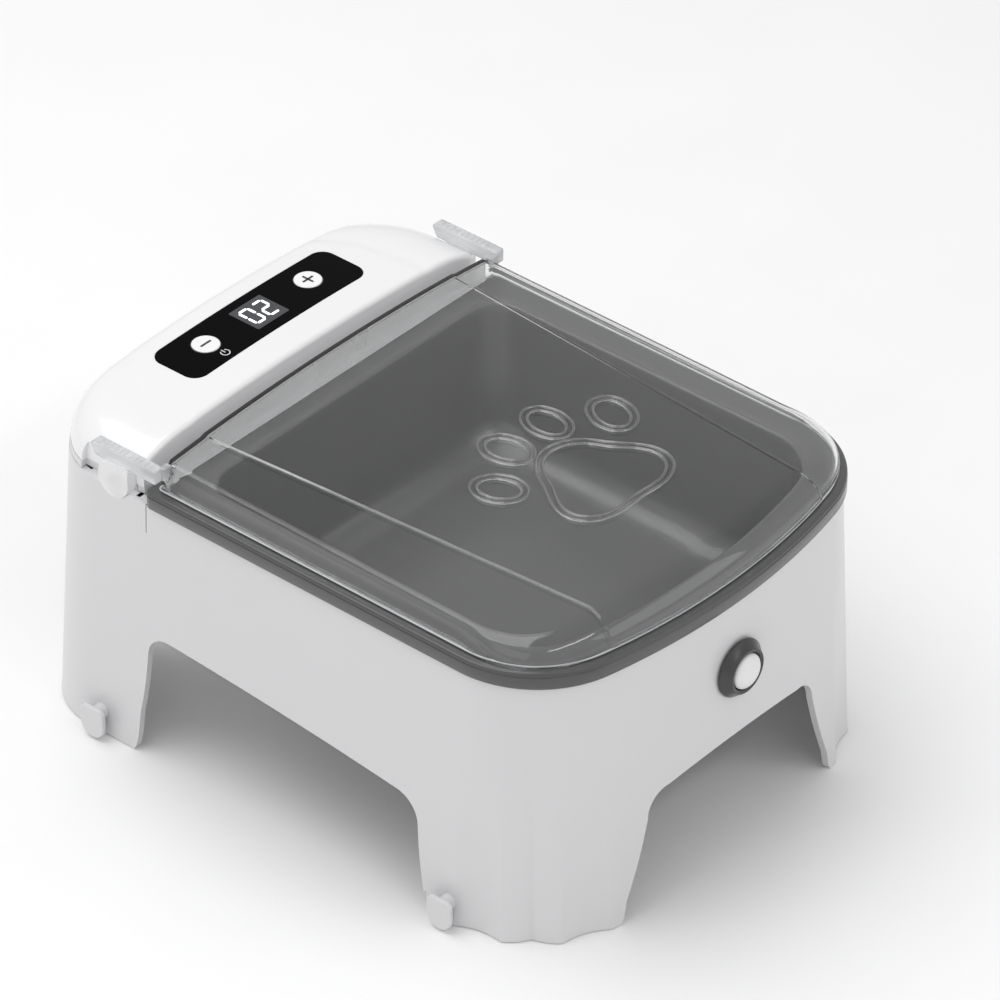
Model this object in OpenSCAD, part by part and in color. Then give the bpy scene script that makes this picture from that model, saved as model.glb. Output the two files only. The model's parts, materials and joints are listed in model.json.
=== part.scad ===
// Automatic pet feeder: a four-legged stand, a lift-out bowl, a clear lid that a small
// geared motor swings open, and a control module at the rear with a presence sensor in front.
// +Z is up, the front faces -Y and the origin is on the floor under the middle of the stand.

/* [Stand] */
// Width of the bowl rim, the widest part above the floor
rim_w = 220; // [205:1:240]
// Length of the stand at the height of the rim, front to rear
stand_l = 290; // [280:1:300]
// Height of the stand, floor to the underside of the bowl rim
stand_h = 128; // [118:1:150]
// How far each side leans out between the rim and the floor
flare = 5.5; // [3:0.5:8]
// Wall thickness of the stand
stand_t = 3; // [2.4:0.2:3.4]
// Height of the openings between the legs
arch_h = 61; // [50:1:64]
/* [Bowl] */
// Length of the bowl rim, front to rear
rim_l = 228; // [218:1:240]
// Height of the edge of the bowl rim
rim_h = 8; // [6:0.5:10]
// Depth of the bowl from its rim to its floor
bowl_depth = 60; // [45:1:62]
/* [Lid] */
// Height of the lid's side wall above the rim
lid_wall_h = 10; // [8:0.5:12]
// Rise of the middle of the lid above its side wall
lid_rise = 6.2; // [5:0.2:7]
// Wall thickness of the lid
lid_t = 2.2; // [1.8:0.1:2.6]
// How far the lid opens, in degrees
lid_open = 62; // [50:1:64]
/* [Control panel] */
// Width of the black panel
panel_w = 110; // [100:1:116]
// Length of the black panel, front to rear
panel_l = 28; // [25:1:30]
// Diameter of the two keys
key_d = 12.4; // [10:0.2:14]
// Distance of each key from the middle
key_x = 32; // [28:1:38]
// How far a key travels
key_travel = 0.8; // [0.4:0.1:1]
/* [Presence sensor] */
// Diameter of the dark bezel
bezel_d = 26.5; // [25:0.5:30]
// Diameter of the white dome
dome_d = 16; // [14:0.5:17]
// Height of the middle of the sensor above the floor
sensor_z = 95; // [92:1:104]
/* [Lid drive] */
// Teeth of the gear on the lid's shaft
output_teeth = 26; // [24:1:27]
// Teeth of the wheel of the second gear
second_teeth = 36; // [32:1:37]
// Teeth of the wheel of the first gear
first_teeth = 42; // [36:1:44]
// Teeth of every pinion
pinion_teeth = 12; // [11:1:13]

/* [Hidden] */
$fn = 40;
eps = 0.02;

// fits
run_gap = 0.05;   // shaft in its bush, all round
part_gap = 0.1;   // flat faces that rest on one another
move_gap = 0.4;   // moving piece beside a fixed one

// plan of the rim: straight sides, large front corners and a bowed front edge
half_w = rim_w / 2;
shell_in = 1.5;   // the stand's wall stands this far inside the edge of the rim
lens_out = 4.5 + dome_d / 5;
seat_lean = flare * (1 - sensor_z / stand_h) - shell_in;
rear_y = (stand_l + 2.5 + seat_lean + lens_out - flare) / 2;
front_y = rear_y - stand_l - 2.5;
rim_rear = front_y + rim_l;
corner_r = 48;
bow_r = 330;
corner_x = half_w - corner_r;
bow_y = front_y + bow_r;
corner_y = bow_y - sqrt(pow(bow_r - corner_r, 2) - pow(corner_x, 2));
bow_sag = bow_r - sqrt(pow(bow_r, 2) - pow(corner_x, 2));   // how far the bow falls back at the corners
corner_end = 180 + atan2(bow_y - corner_y, corner_x);
rear_r = 36;
lid_rear = rim_rear - 5;

// heights
rim_z = stand_h;
rim_top = rim_z + rim_h;
lid_z = rim_top + 0.3;
lid_side_top = rim_top + lid_wall_h;
crown_top = lid_side_top + lid_rise;
crown_x = half_w - 9;
base_z = arch_h + 9;
base_t = 2.5;
floor_top = base_z + base_t;
ledge_t = 2.5;

// pivot of the lid, at the ears of its two arms
pivot_y = lid_rear + 22.5;
pivot_z = rim_top - 3;
ear_r = 8.6;
arm_t = 5.5;
arm_x = half_w - 0.2 - arm_t;
arm_top = rim_top + 12;
arm_h = 6.5;
arm_end = pivot_y + 12;
pocket_r = 20;
pocket_x = arm_x - move_gap;

// module at the rear
module_front = lid_rear + 10;
module_rear = rear_y - 2;
module_t = 2.2;
crease_x = half_w - 40;
shoulder_z = rim_z + 6;
module_half = half_w - 2;
side_arch_y = (pivot_y + corner_y) / 2 + 1;
boss_d = 9.6;
bush_d = 7.6;
panel_y = module_front + 30.3;
partition_y = lid_rear - 6.5;
ledge_rear = rear_y - 8;
rib_x = half_w - 46;

// lid drive
gear_w = 3;
layer_a = -(half_w - 16.5);
layer_b = layer_a + 3.5;
layer_c = layer_b + 3.5;
mod_a = 0.7;
mod_b = 0.6;
mod_c = 0.5;
centre_gap = 0.1;
reach_a = mod_a * (output_teeth + pinion_teeth) / 2 + centre_gap;
reach_b = mod_b * (second_teeth + pinion_teeth) / 2 + centre_gap;
reach_c = mod_c * (first_teeth + pinion_teeth) / 2 + centre_gap;
dir_a = -50;
dir_b = -75;
dir_c = -100;
second_y = pivot_y + reach_a * cos(dir_a);
second_z = pivot_z + reach_a * sin(dir_a);
first_y = second_y + reach_b * cos(dir_b);
first_z = second_z + reach_b * sin(dir_b);
motor_y = first_y + reach_c * cos(dir_c);
motor_z = first_z + reach_c * sin(dir_c);
shaft_d = 6;
tail_d = 3;
pin_d = 2.5;
plate_t = 2;
outer_plate_x = layer_a - 0.5 - plate_t;
inner_plate_x = layer_c + gear_w + 0.5;
plate_front = pivot_y - 7.5;
plate_rear = pivot_y + 22;
foot_w = 4;
plate_top = pivot_z + 8;
plate_foot = floor_top + part_gap;
pillars = [[plate_front + 4, motor_z - 12], [plate_rear - 4, plate_top - 6], [plate_rear - 4, motor_z - 12]];
flag_x = inner_plate_x + plate_t + 3.5;
hinge_x = half_w - 14;
bracket_x = hinge_x - 11;

// electronics on the floor of the compartment
board_z = floor_top + 11;
board_x0 = 2;
board_l = 86;
board_w = 28;
board_y0 = rear_y - 7 - board_w;
board_t = 1.6;
board_holes = [[5, 5], [board_l - 5, 5], [5, board_w - 5], [board_l - 5, board_w - 5]];
socket_x = board_x0 + 60;
cell_d = 18.4;
cell_l = 65;
cell_y = pivot_y - 13;
cell_z = floor_top + 11.5;
cell_x0 = 12;
base_holes = [for (sx = [-1, 1], sy = [0, 1]) [sx * (half_w - 13), partition_y + 9 + sy * 48]];
cover_holes = [for (sx = [-1, 1], y = [pivot_y - 4, pivot_y + 24]) [sx * rib_x, y]];
panel_board_z = crown_top - 8;
panel_holes = [for (sx = [-1, 1], sy = [-1, 1]) [sx * (panel_w / 2 - 8), panel_y + sy * 8]];
lens_y = front_y - seat_lean;
sensor_post_x = 17.5;

// Outline in plan, a set distance inside the edge of the rim, with the rear edge at y_rear.
function outline(inset, y_rear, r_rear) = concat(
    [for (i = [0 : 6]) let(a = 90 + 15 * i)
        [-(half_w - inset - r_rear) + r_rear * cos(a), y_rear - r_rear + r_rear * sin(a)]],
    [for (i = [0 : 8]) let(a = 180 + (corner_end - 180) * i / 8)
        [-corner_x + (corner_r - inset) * cos(a), corner_y + (corner_r - inset) * sin(a)]],
    [for (i = [1 : 7]) let(a = corner_end + (540 - 2 * corner_end) * i / 8)
        [(bow_r - inset) * cos(a), bow_y + (bow_r - inset) * sin(a)]],
    [for (i = [8 : -1 : 0]) let(a = 180 + (corner_end - 180) * i / 8)
        [corner_x - (corner_r - inset) * cos(a), corner_y + (corner_r - inset) * sin(a)]],
    [for (i = [0 : 6]) let(a = 15 * i)
        [half_w - inset - r_rear + r_rear * cos(a), y_rear - r_rear + r_rear * sin(a)]]);

// Crown shared by the module and the lid: height of the top at a distance from the middle.
function crown(x) = crown_top - 4.2 * pow(x / crown_x, 2);
// Top of the module: the crown, then a rounded shoulder down to the seam.
function module_top(x) = abs(x) <= crease_x ? crown(x)
    : shoulder_z + (crown(crease_x) - shoulder_z)
        * sqrt(max(0, 1 - pow((abs(x) - crease_x) / (module_half - crease_x), 2)));

// One gear as a polygon of involute flanks; play is taken off the thickness of each tooth.
function inv(a) = tan(a) - a * PI / 180;
function half_tooth(r, rp, rb, teeth, play) = let(ra = max(r, rb + 0.001))
    90 / teeth - play / rp * 90 / PI + (inv(20) - inv(acos(rb / ra))) * 180 / PI;
function gear_outline(teeth, mod, play = 0.14) = let(
    rp = mod * teeth / 2, rb = rp * cos(20), root = rp - 1.2 * mod, tip = rp + 0.95 * mod,
    rs = [root, rp, tip])
    [for (i = [0 : teeth - 1], k = [0 : 5])
        let(a = 360 * i / teeth, r = k < 3 ? rs[k] : rs[5 - k],
            off = half_tooth(r, rp, rb, teeth, play), b = k < 3 ? a - off : a + off)
        [r * cos(b), r * sin(b)]];
// Turn that puts a gear in mesh with the one before it, which lies in direction dir back.
function mesh_turn(dir, teeth, before_turn, before_teeth) =
    dir + 180 - (0.5 - (dir - before_turn) / (360 / before_teeth)) * 360 / teeth;
second_turn = mesh_turn(dir_a, pinion_teeth, 0, output_teeth);
first_turn = mesh_turn(dir_b, pinion_teeth, second_turn, second_teeth);
motor_turn = mesh_turn(dir_c, pinion_teeth, first_turn, first_teeth);

// Shapes lying along X, drawn in Y and Z.
module along_x(x, y, z, l) {
    translate([x, y, z]) rotate([90, 0, 90]) linear_extrude(l) children();
}
module rod_x(x, y, z, l, d) {
    translate([x, y, z]) rotate([0, 90, 0]) cylinder(h = l, d = d);
}
module gear_x(x, y, z, teeth, mod, turn) {
    along_x(x, y, z, gear_w) rotate(turn) polygon(gear_outline(teeth, mod));
}
module rounded_rect(w, l, r) {
    for (sx = [-1, 1], sy = [-1, 1]) translate([sx * (w / 2 - r), sy * (l / 2 - r)]) circle(r);
    square([w - 2 * r, l], center = true);
    square([w, l - 2 * r], center = true);
}
// A screw standing on its thread end, head up.
module screw(l, d = 2.5) {
    difference() {
        union() {
            cylinder(h = l, d = d);
            translate([0, 0, l - eps]) cylinder(h = 1.8, d = d * 2);
        }
        translate([0, 0, l + 0.8]) cube([d * 1.4, 0.6, 2], center = true);
        translate([0, 0, l + 0.8]) cube([0.6, d * 1.4, 2], center = true);
    }
}

module slab(inset, z, y_rear, r_rear = rear_r) {
    translate([0, 0, z]) linear_extrude(eps) polygon(outline(inset, y_rear, r_rear));
}
module leaning_block(extra, top, low) {
    lean = flare * (top - low) / rim_z;
    at_top = shell_in + extra + flare * (top - rim_z) / rim_z;
    hull() {
        slab(at_top, top - eps, rear_y - extra);
        slab(at_top - lean, low, rear_y - extra + lean);
    }
}
// Opening between two legs, facing the wall: round corners and a crowned top that may slope.
module arch(half_floor, half_top, h, sag, slope = 0) {
    r = 12;
    flat = half_top - r;
    polygon([for (p = concat([[-half_floor, -1], [half_floor, -1]],
        [for (i = [0 : 6]) let(a = 15 * i) [flat + r * cos(a), h - sag - r + r * sin(a)]],
        [for (i = [1 : 7]) let(x = flat * (1 - i / 4)) [x, h - sag * pow(x / flat, 2)]],
        [for (i = [0 : 6]) let(a = 90 + 15 * i) [-flat + r * cos(a), h - sag - r + r * sin(a)]]))
        [p[0], p[1] + (p[1] > 0 ? slope * p[0] : 0)]]);
}
module flutes() {
    mid = 180 + (corner_end - 180) / 2;
    for (s = [-1, 1], f = [[-26.5, 9], [0, 3], [26.5, 9]]) {
        a = mid + f[0];
        out = corner_r + f[1] + flare - shell_in - 1.8;
        mirror([s < 0 ? 1 : 0, 0, 0]) translate([-corner_x + out * cos(a), corner_y + out * sin(a), -1])
            rotate([0, 0, a]) rotate([0, 0.4, 0]) cylinder(h = rim_z * 0.72, r = f[1]);
    }
}
module leg_hook(y) {
    plate_w = 13;
    for (s = [-1, 1]) {
        x = s > 0 ? half_w + 2 : -half_w - 10.5;
        rod_x(x, y, 11, 8.5, 7);
        along_x(s > 0 ? half_w + 8 : -half_w - 10.5, y, 0, 2.5) {
            translate([0, plate_w / 2 + 0.5]) circle(d = plate_w);
            translate([-plate_w / 2, plate_w / 2 + 0.5]) square([plate_w, plate_w / 2 + 2]);
        }
    }
}
module stand_shell() color("whitesmoke") difference() {
    union() {
        difference() {
            leaning_block(0, rim_z, 0);
            leaning_block(stand_t, rim_z + 1, -1);
        }
        // lip inside the bowl's skirt, wall of the compartment, ledge under the module
        difference() {
            translate([0, 0, rim_z - 3]) linear_extrude(7.5) difference() {
                polygon(outline(3.4, rear_y - 3.5, rear_r));
                polygon(outline(5.4, rear_y - 5.5, rear_r - 2));
            }
            translate([-half_w, partition_y + 1, rim_z]) cube([rim_w, stand_l, 20]);
        }
        intersection() {
            leaning_block(stand_t / 2, rim_z, 0);
            union() {
                translate([-half_w, partition_y, base_z - 2]) cube([rim_w, 2.4, rim_z - base_z + 2]);
                difference() {
                    translate([-half_w, partition_y, rim_z - ledge_t]) cube([rim_w, stand_l / 2, ledge_t]);
                    translate([-half_w + 12, module_front + 3, rim_z - ledge_t - 1])
                        cube([half_w + 74, ledge_rear - module_front - 3, ledge_t + 2]);
                }
                for (s = [-1, 1]) translate([s * rib_x - 4.5, partition_y, rim_z - ledge_t])
                    cube([9, rear_y - partition_y, ledge_t]);
                // backing behind the pocket of each ear
                for (s = [-1, 1]) translate([s * (pocket_x - 1.4) - 1.4, pivot_y - 12, rim_z - 14])
                    cube([2.8, 24, 14]);
            }
        }
        intersection() {
            leaning_block(stand_t / 2, rim_z, 0);
            for (p = base_holes) translate([p[0], p[1], floor_top + part_gap]) {
                cylinder(h = 12, d = 7);
                translate([p[0] > 0 ? 0 : -20, -1.5, 0]) cube([20, 3, 12]);
            }
        }
        // flat seat of the sensor bezel, and the posts of its board
        translate([0, lens_y + 4, sensor_z]) rotate([90, 0, 0]) cylinder(h = 5, d = bezel_d + 0.4);
        for (s = [-1, 1])
            translate([s * sensor_post_x, lens_y + 10.5, sensor_z]) rotate([90, 0, 0]) cylinder(h = 9.5, d = 5);
        leg_hook(pivot_y + 8);
        leg_hook(corner_y + 3);
    }
    // openings between the legs
    translate([0, stand_l, 0]) rotate([90, 0, 0]) linear_extrude(2 * stand_l) arch(67, 53.5, arch_h + 1.5, 4);
    along_x(-rim_w, side_arch_y, 0, 2 * rim_w) arch(82, 75.5, arch_h - 1.5, 1, 0.08);
    flutes();
    // ear pockets, slots under the ends of the rim, power socket, ribbon and sensor holes
    for (s = [-1, 1])
        rod_x(s > 0 ? pocket_x : -half_w - 2, pivot_y, pivot_z, half_w + 2 - pocket_x, 2 * ear_r + 1.2);
    translate([-rim_w, rim_rear - 1, rim_z - 14]) cube([2 * rim_w, 1.2, 14.5 - 2]);
    for (p = base_holes) translate([p[0], p[1], base_z]) cylinder(h = 11, d = 2.6);
    for (p = cover_holes) translate([p[0], p[1], rim_z - ledge_t - 1]) cylinder(h = 5, d = 2.8);
    translate([socket_x, rear_y + 2, board_z + board_t + 1.7]) cube([9.6, 12, 3.9], center = true);
    translate([0, lens_y + 20, sensor_z]) rotate([90, 0, 0]) cylinder(h = 30, d = bezel_d - 5);
    for (s = [-1, 1])
        translate([s * sensor_post_x, lens_y + 12, sensor_z]) rotate([90, 0, 0]) cylinder(h = 7, d = 2.1);
    for (dx = [-6, 6]) translate([bracket_x + dx, pivot_y + 6, rim_z - ledge_t - 1]) cylinder(h = 5, d = 2.2);
    translate([-half_w + 3.5, partition_y - 2, rim_z - 13]) cube([6, 6, 7]);
}

bowl_corner = 30;
module bowl_plan(grow, z, shrink) {
    w = rim_w - 37 + 2 * grow - 2 * shrink;
    y0 = front_y + 12.12 + bow_sag - grow + shrink;
    y1 = rim_rear - 14 + grow - shrink;
    translate([0, (y0 + y1) / 2, z]) linear_extrude(eps)
        rounded_rect(w, y1 - y0, bowl_corner + grow, $fn = 32);
}
module bowl() color("dimgray") difference() {
    union() {
        translate([0, 0, rim_top - 2.5]) linear_extrude(2.5) polygon(outline(0, rim_rear, 4));
        translate([0, 0, rim_z + part_gap]) linear_extrude(rim_h - 1) difference() {
            polygon(outline(0, rim_rear, 4));
            polygon(outline(2.4, rim_rear - 2.4, 2));
        }
        hull() {
            bowl_plan(2.2, rim_top - 1, 0);
            bowl_plan(2.2, rim_top - bowl_depth - 2.4, 20);
        }
    }
    hull() {
        bowl_plan(0, rim_top + 1, 0);
        bowl_plan(0, rim_top - bowl_depth, 20);
    }
}

// The lid's outer shape, made smaller on every side by t.
module lid_block(t) {
    z0 = t > 0 ? lid_z - 1 : lid_z;
    wall_x = half_w - 4.7 - t;
    top_x = crown_x - t;
    roll = 15;
    y_front = front_y + 4.5 + t;
    y_back = lid_rear - t;
    intersection() {
        translate([0, y_back, 0]) rotate([90, 0, 0]) linear_extrude(rim_l + 20) polygon(concat(
            [[-wall_x, z0], [wall_x, z0], [top_x + 1.2, crown(crown_x) - t - 3]],
            [for (i = [-10 : 10]) let(x = -top_x * i / 10) [x, crown(x) - t]],
            [[-top_x - 1.2, crown(crown_x) - t - 3]]));
        along_x(-rim_w, 0, 0, 2 * rim_w) polygon(concat(
            [[y_back, z0], [y_back, crown_top + 5], [y_front + roll, crown_top + 5]],
            [for (i = [0 : 6]) let(a = 90 + 15 * i)
                [y_front + roll + roll * cos(a), crown_top - t - roll + roll * sin(a)]],
            [[y_front, z0]]));
        translate([0, 0, z0]) linear_extrude(60) polygon(outline(4.5 + t, y_back, max(1, 4 - t)));
    }
}
module lid() color("lightcyan", 0.35) difference() {
    union() {
        difference() {
            lid_block(0);
            lid_block(lid_t);
        }
        for (s = [-1, 1]) along_x(s > 0 ? arm_x : -arm_x - arm_t, 0, 0, arm_t) {
            polygon([[lid_rear - 2, arm_top - arm_h], [arm_end - 6, arm_top - arm_h],
                [arm_end, arm_top - 1.2], [arm_end - 1.2, arm_top], [lid_rear - 2, arm_top]]);
            translate([pivot_y, pivot_z]) circle(r = ear_r);
            translate([pivot_y - ear_r, pivot_z]) square([ear_r + 4, arm_top - arm_h - pivot_z + 1]);
        }
        // each arm's root runs into the rear and side walls of the lid
        for (s = [-1, 1]) translate([s * (arm_x - 1.5) - 2.5, lid_rear - 3, arm_top - arm_h])
            cube([5, 3, arm_h - 0.6]);
    }
    for (s = [-1, 1])
        rod_x(s * (arm_x + arm_t / 2) - arm_t, pivot_y, pivot_z, 2 * arm_t, shaft_d + 2 * run_gap);
}

// The module's section across, made smaller by t all round; the hollow one is open below.
module module_profile(t) {
    half = module_half - t;
    low = rim_z + (t > 0 ? -1 : part_gap);
    rotate([90, 0, 0]) linear_extrude(stand_l) polygon(concat([[half, low]],
        [for (i = [0 : 30]) let(x = half * cos(6 * i)) [x, module_top(x * module_half / half) - t]],
        [[-half, low]]));
}
// The module's front edge is rounded about a line above the lid's pivot, so that the lid clears it.
module module_side(t) {
    front_r = 3;
    r = 8;
    y0 = module_front + t;
    y1 = module_rear - t;
    z1 = crown_top - t;
    along_x(-rim_w, 0, 0, 2 * rim_w) polygon(concat(
        [[y1, rim_z - 1], [y0, rim_z - 1]],
        [for (i = [0 : 6]) let(a = 180 - 15 * i)
            [y0 + front_r + front_r * cos(a), z1 - front_r + front_r * sin(a)]],
        [for (i = [0 : 6]) let(a = 90 - 15 * i) [y1 - r + r * cos(a), z1 - r + r * sin(a)]]));
}
module module_block(t) intersection() {
    translate([0, stand_l, 0]) module_profile(t);
    module_side(t);
    translate([0, 0, rim_z - 1]) linear_extrude(60) polygon(outline(2 + t, module_rear - t, rear_r - 2 - t));
}
module crown_strip(z_low, z_high) {
    translate([0, stand_l, 0]) rotate([90, 0, 0]) linear_extrude(2 * stand_l) polygon(concat(
        [for (i = [-8 : 8]) let(x = crease_x * i / 8) [x, crown(x) + z_low]],
        [for (i = [8 : -1 : -8]) let(x = crease_x * i / 8) [x, crown(x) + z_high]]));
}
module panel_plan(gap, r = 7) {
    w = panel_w / 2 + gap;
    l = panel_l / 2 + gap;
    translate([0, panel_y]) rounded_rect(2 * w, 2 * l, r + gap);
}
window_w = 18;
window_l = 16;
module control_cover() color("white") difference() {
    union() {
        difference() {
            module_block(0);
            module_block(module_t);
            // pocket for each arm and ear
            for (s = [-1, 1]) {
                rod_x(s > 0 ? pocket_x : -half_w - 1, pivot_y, pivot_z, half_w + 1 - pocket_x, 2 * pocket_r);
                translate([s > 0 ? pocket_x : -half_w - 1, module_front - 5, rim_z - 1])
                    cube([half_w + 1 - pocket_x, pivot_y - module_front + 5, 40]);
            }
        }
        // inner wall of each pocket, screw bosses and the posts of the display board
        intersection() {
            module_block(0);
            union() {
                for (s = [-1, 1]) translate([s * (pocket_x - 1) - 1, module_front, rim_z + part_gap])
                    cube([2, pivot_y + 20 - module_front, 40]);
                for (p = cover_holes) translate([p[0], p[1], rim_z + part_gap]) cylinder(h = 60, d = 7);
                for (p = panel_holes) translate([p[0], p[1], panel_board_z + 1.2]) cylinder(h = 20, d = 5);
            }
        }
    }
    // seat of the black panel, with the key and window holes
    intersection() {
        crown_strip(-1, 5);
        translate([0, 0, rim_z]) linear_extrude(60) panel_plan(part_gap);
    }
    for (s = [-1, 1]) translate([s * key_x, panel_y + 1, rim_z]) cylinder(h = 60, d = key_d + 0.8);
    translate([0, panel_y, crown_top]) cube([window_w + 0.2, window_l + 0.2, 12], center = true);
    // slot over the boss of each bush, open below
    for (s = [-1, 1]) {
        rod_x(s * pocket_x - 4, pivot_y, pivot_z, 8, boss_d + 0.6);
        translate([s * pocket_x - 4, pivot_y - boss_d / 2 - 0.3, rim_z - 2])
            cube([8, boss_d + 0.6, pivot_z - rim_z + 2]);
    }
    for (p = cover_holes) translate([p[0], p[1], rim_z - 1]) cylinder(h = 9, d = 2.1);
    for (p = panel_holes) translate([p[0], p[1], panel_board_z]) cylinder(h = 4.5, d = 1.6);
}
module compartment_base() color("whitesmoke") difference() {
    union() {
        intersection() {
            translate([-half_w, partition_y + 2.9, base_z]) cube([rim_w, stand_l, base_t]);
            leaning_block(stand_t + 0.5, base_z + 10, base_z - 1);
        }
        for (h = board_holes) translate([board_x0 + h[0], board_y0 + h[1], base_z + 1])
            cylinder(h = board_z - base_z - 1 - part_gap, d = 5);
    }
    for (p = base_holes) translate([p[0], p[1], base_z - 1]) cylinder(h = 9, d = 2.9);
    for (h = board_holes) translate([board_x0 + h[0], board_y0 + h[1], base_z + 4]) cylinder(h = 20, d = 1.9);
}

module display_panel() color("black") difference() {
    intersection() {
        crown_strip(-0.95, 0.3);
        translate([0, 0, rim_z]) linear_extrude(60) panel_plan(0);
    }
    for (s = [-1, 1]) translate([s * key_x, panel_y + 1, rim_z]) cylinder(h = 60, d = key_d + 0.8);
    translate([0, panel_y, crown_top]) cube([window_w + 0.2, window_l + 0.2, 12], center = true);
}
module display_window() color("dimgray") translate([0, panel_y, crown_top - 1.2])
    cube([window_w, window_l, 2], center = true);
// Seven bars make one digit; each bar is a flat strip on the window.
module digit(x, bars) {
    w = 4.6;
    h = 5;
    t = 0.9;
    spots = [[0, h, 0], [w / 2, h / 2, 90], [w / 2, -h / 2, 90], [0, -h, 0],
             [-w / 2, -h / 2, 90], [-w / 2, h / 2, 90], [0, 0, 0]];
    for (i = bars) translate([x + spots[i][0], panel_y + spots[i][1], crown_top - 0.1])
        rotate(spots[i][2]) cube([(i % 3 == 0 ? w : h) - t - 0.3, t, 0.2], center = true);
}
module display_digits() color("white") {
    digit(-3.6, [0, 1, 2, 3, 4, 5]);
    digit(3.6, [0, 1, 6, 4, 3]);
}
module led_display() color("dimgray") translate([0, panel_y, (panel_board_z + 1.25 + crown_top - 2.3) / 2])
    cube([16.5, 14.5, crown_top - 2.35 - panel_board_z - 1.25], center = true);
module key(x) color("white") {
    z = crown(key_x) - 1.9;
    translate([x, panel_y + 1, z]) cylinder(h = 2.3, d = key_d);
    translate([x, panel_y + 1, z - 1.8]) cylinder(h = 1.9, d = 4);
}
module minus_key() key(-key_x);
module plus_key() key(key_x);
module key_switches() color("gray") for (s = [-1, 1])
    translate([s * key_x, panel_y + 1, panel_board_z + 1.25]) {
        translate([-3, -3, 0]) cube([6, 6, 1.3]);
        cylinder(h = crown(key_x) - 3.7 - key_travel - 0.1 - panel_board_z - 1.25, d = 3.2);
    }
module display_board() color("darkgreen") difference() {
    translate([0, panel_y, panel_board_z + 0.6]) cube([panel_w - 6, panel_l - 4, 1.2 - eps], center = true);
    for (p = panel_holes) translate([p[0], p[1], panel_board_z - 1]) cylinder(h = 5, d = 2);
}
module display_screws() color("silver") for (p = panel_holes)
    translate([p[0], p[1], panel_board_z + 4]) rotate([180, 0, 0]) screw(4 + part_gap, 1.5);

module main_board() color("darkgreen") difference() {
    translate([board_x0, board_y0, board_z]) cube([board_l, board_w, board_t]);
    for (h = board_holes) translate([board_x0 + h[0], board_y0 + h[1], board_z - 1]) cylinder(h = 5, d = 2.4);
}
module controller_chip() color("black") translate([board_x0 + 22, board_y0 + 8, board_z + board_t + 0.05])
    cube([12, 12, 1.6]);
module board_sockets() color("ivory") for (x = [12, 42, 66])
    translate([board_x0 + x, board_y0 + 1, board_z + board_t + 0.05]) difference() {
        cube([9, 5, 6]);
        translate([1, 1, 2]) cube([7, 3, 6]);
    }
module board_screws() color("silver") for (h = board_holes)
    translate([board_x0 + h[0], board_y0 + h[1], board_z - 4]) screw(4 + board_t + part_gap, 1.8);
module power_socket() color("silver") translate([socket_x, rear_y - 3, board_z + board_t + 1.7]) difference() {
    cube([8.9, 9, 3.2], center = true);
    translate([0, 2, 0]) cube([8.2, 9, 2.5], center = true);
}
module battery_cell() color("royalblue") rod_x(cell_x0, cell_y, cell_z, cell_l, cell_d);
module battery_holder() color("black") difference() {
    translate([cell_x0 - 5, cell_y - 11, floor_top + 0.1]) cube([cell_l + 10, 22, 15]);
    rod_x(cell_x0 - 1, cell_y, cell_z, cell_l + 2, cell_d + 0.6);
    translate([cell_x0 - 1, cell_y - cell_d / 2 - 0.3, cell_z]) cube([cell_l + 2, cell_d + 0.6, 20]);
}

motor_l = 34;
motor_x = inner_plate_x + plate_t + part_gap;
module motor() color("silver") difference() {
    union() {
        rod_x(motor_x, motor_y, motor_z, motor_l, 20);
        rod_x(motor_x + motor_l - eps, motor_y, motor_z, 2, 6);
    }
    rod_x(motor_x - 1, motor_y, motor_z, 12, 2.1);
    for (s = [-1, 1]) rod_x(motor_x - 1, motor_y + s * 7, motor_z, 6, 1.7);
}
module motor_screws() color("silver") for (s = [-1, 1])
    translate([motor_x + 4, motor_y + s * 7, motor_z]) rotate([0, -90, 0])
        screw(4 + plate_t + 2 * part_gap, 1.6);
module motor_pinion() color("goldenrod") union() {
    gear_x(layer_c, motor_y, motor_z, pinion_teeth, mod_c, motor_turn);
    rod_x(layer_c, motor_y, motor_z, motor_x - layer_c + 9, 2);
}
module compound(y, z, x_small, x_big, small_mod, big_teeth, big_mod, turn) difference() {
    union() {
        gear_x(x_small, y, z, pinion_teeth, small_mod, turn);
        gear_x(x_big, y, z, big_teeth, big_mod, turn);
        rod_x(x_small, y, z, x_big - x_small + gear_w, small_mod * pinion_teeth - 2.6 * small_mod);
    }
    rod_x(x_small - 1, y, z, x_big - x_small + gear_w + 2, pin_d + 2 * run_gap);
}
module first_gear() color("ivory")
    compound(first_y, first_z, layer_b, layer_c, mod_b, first_teeth, mod_c, first_turn);
module second_gear() color("ivory")
    compound(second_y, second_z, layer_a, layer_b, mod_a, second_teeth, mod_b, second_turn);
module output_gear() color("goldenrod") difference() {
    gear_x(layer_a, pivot_y, pivot_z, output_teeth, mod_a, 0);
    rod_x(layer_a - 1, pivot_y, pivot_z, gear_w + 2, shaft_d + 0.04);
}
module gear_pins() color("silver") for (p = [[first_y, first_z], [second_y, second_z]])
    rod_x(outer_plate_x + 0.2, p[0], p[1], inner_plate_x + plate_t - outer_plate_x - 0.4, pin_d);
module gear_plate(x, foot) difference() {
    union() {
        along_x(x, 0, 0, plate_t) polygon([[plate_front, plate_foot], [plate_rear, plate_foot],
            [plate_rear, plate_top - 5], [plate_rear - 5, plate_top], [plate_front, plate_top]]);
        translate([foot > 0 ? x : x - foot_w, plate_front, plate_foot])
            cube([plate_t + foot_w, plate_rear - plate_front, 2]);
    }
    for (p = [[first_y, first_z], [second_y, second_z]]) rod_x(x - 1, p[0], p[1], plate_t + 2, pin_d + 0.04);
    for (p = pillars) rod_x(x - 1, p[0], p[1], plate_t + 2, 2.6);
}
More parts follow.
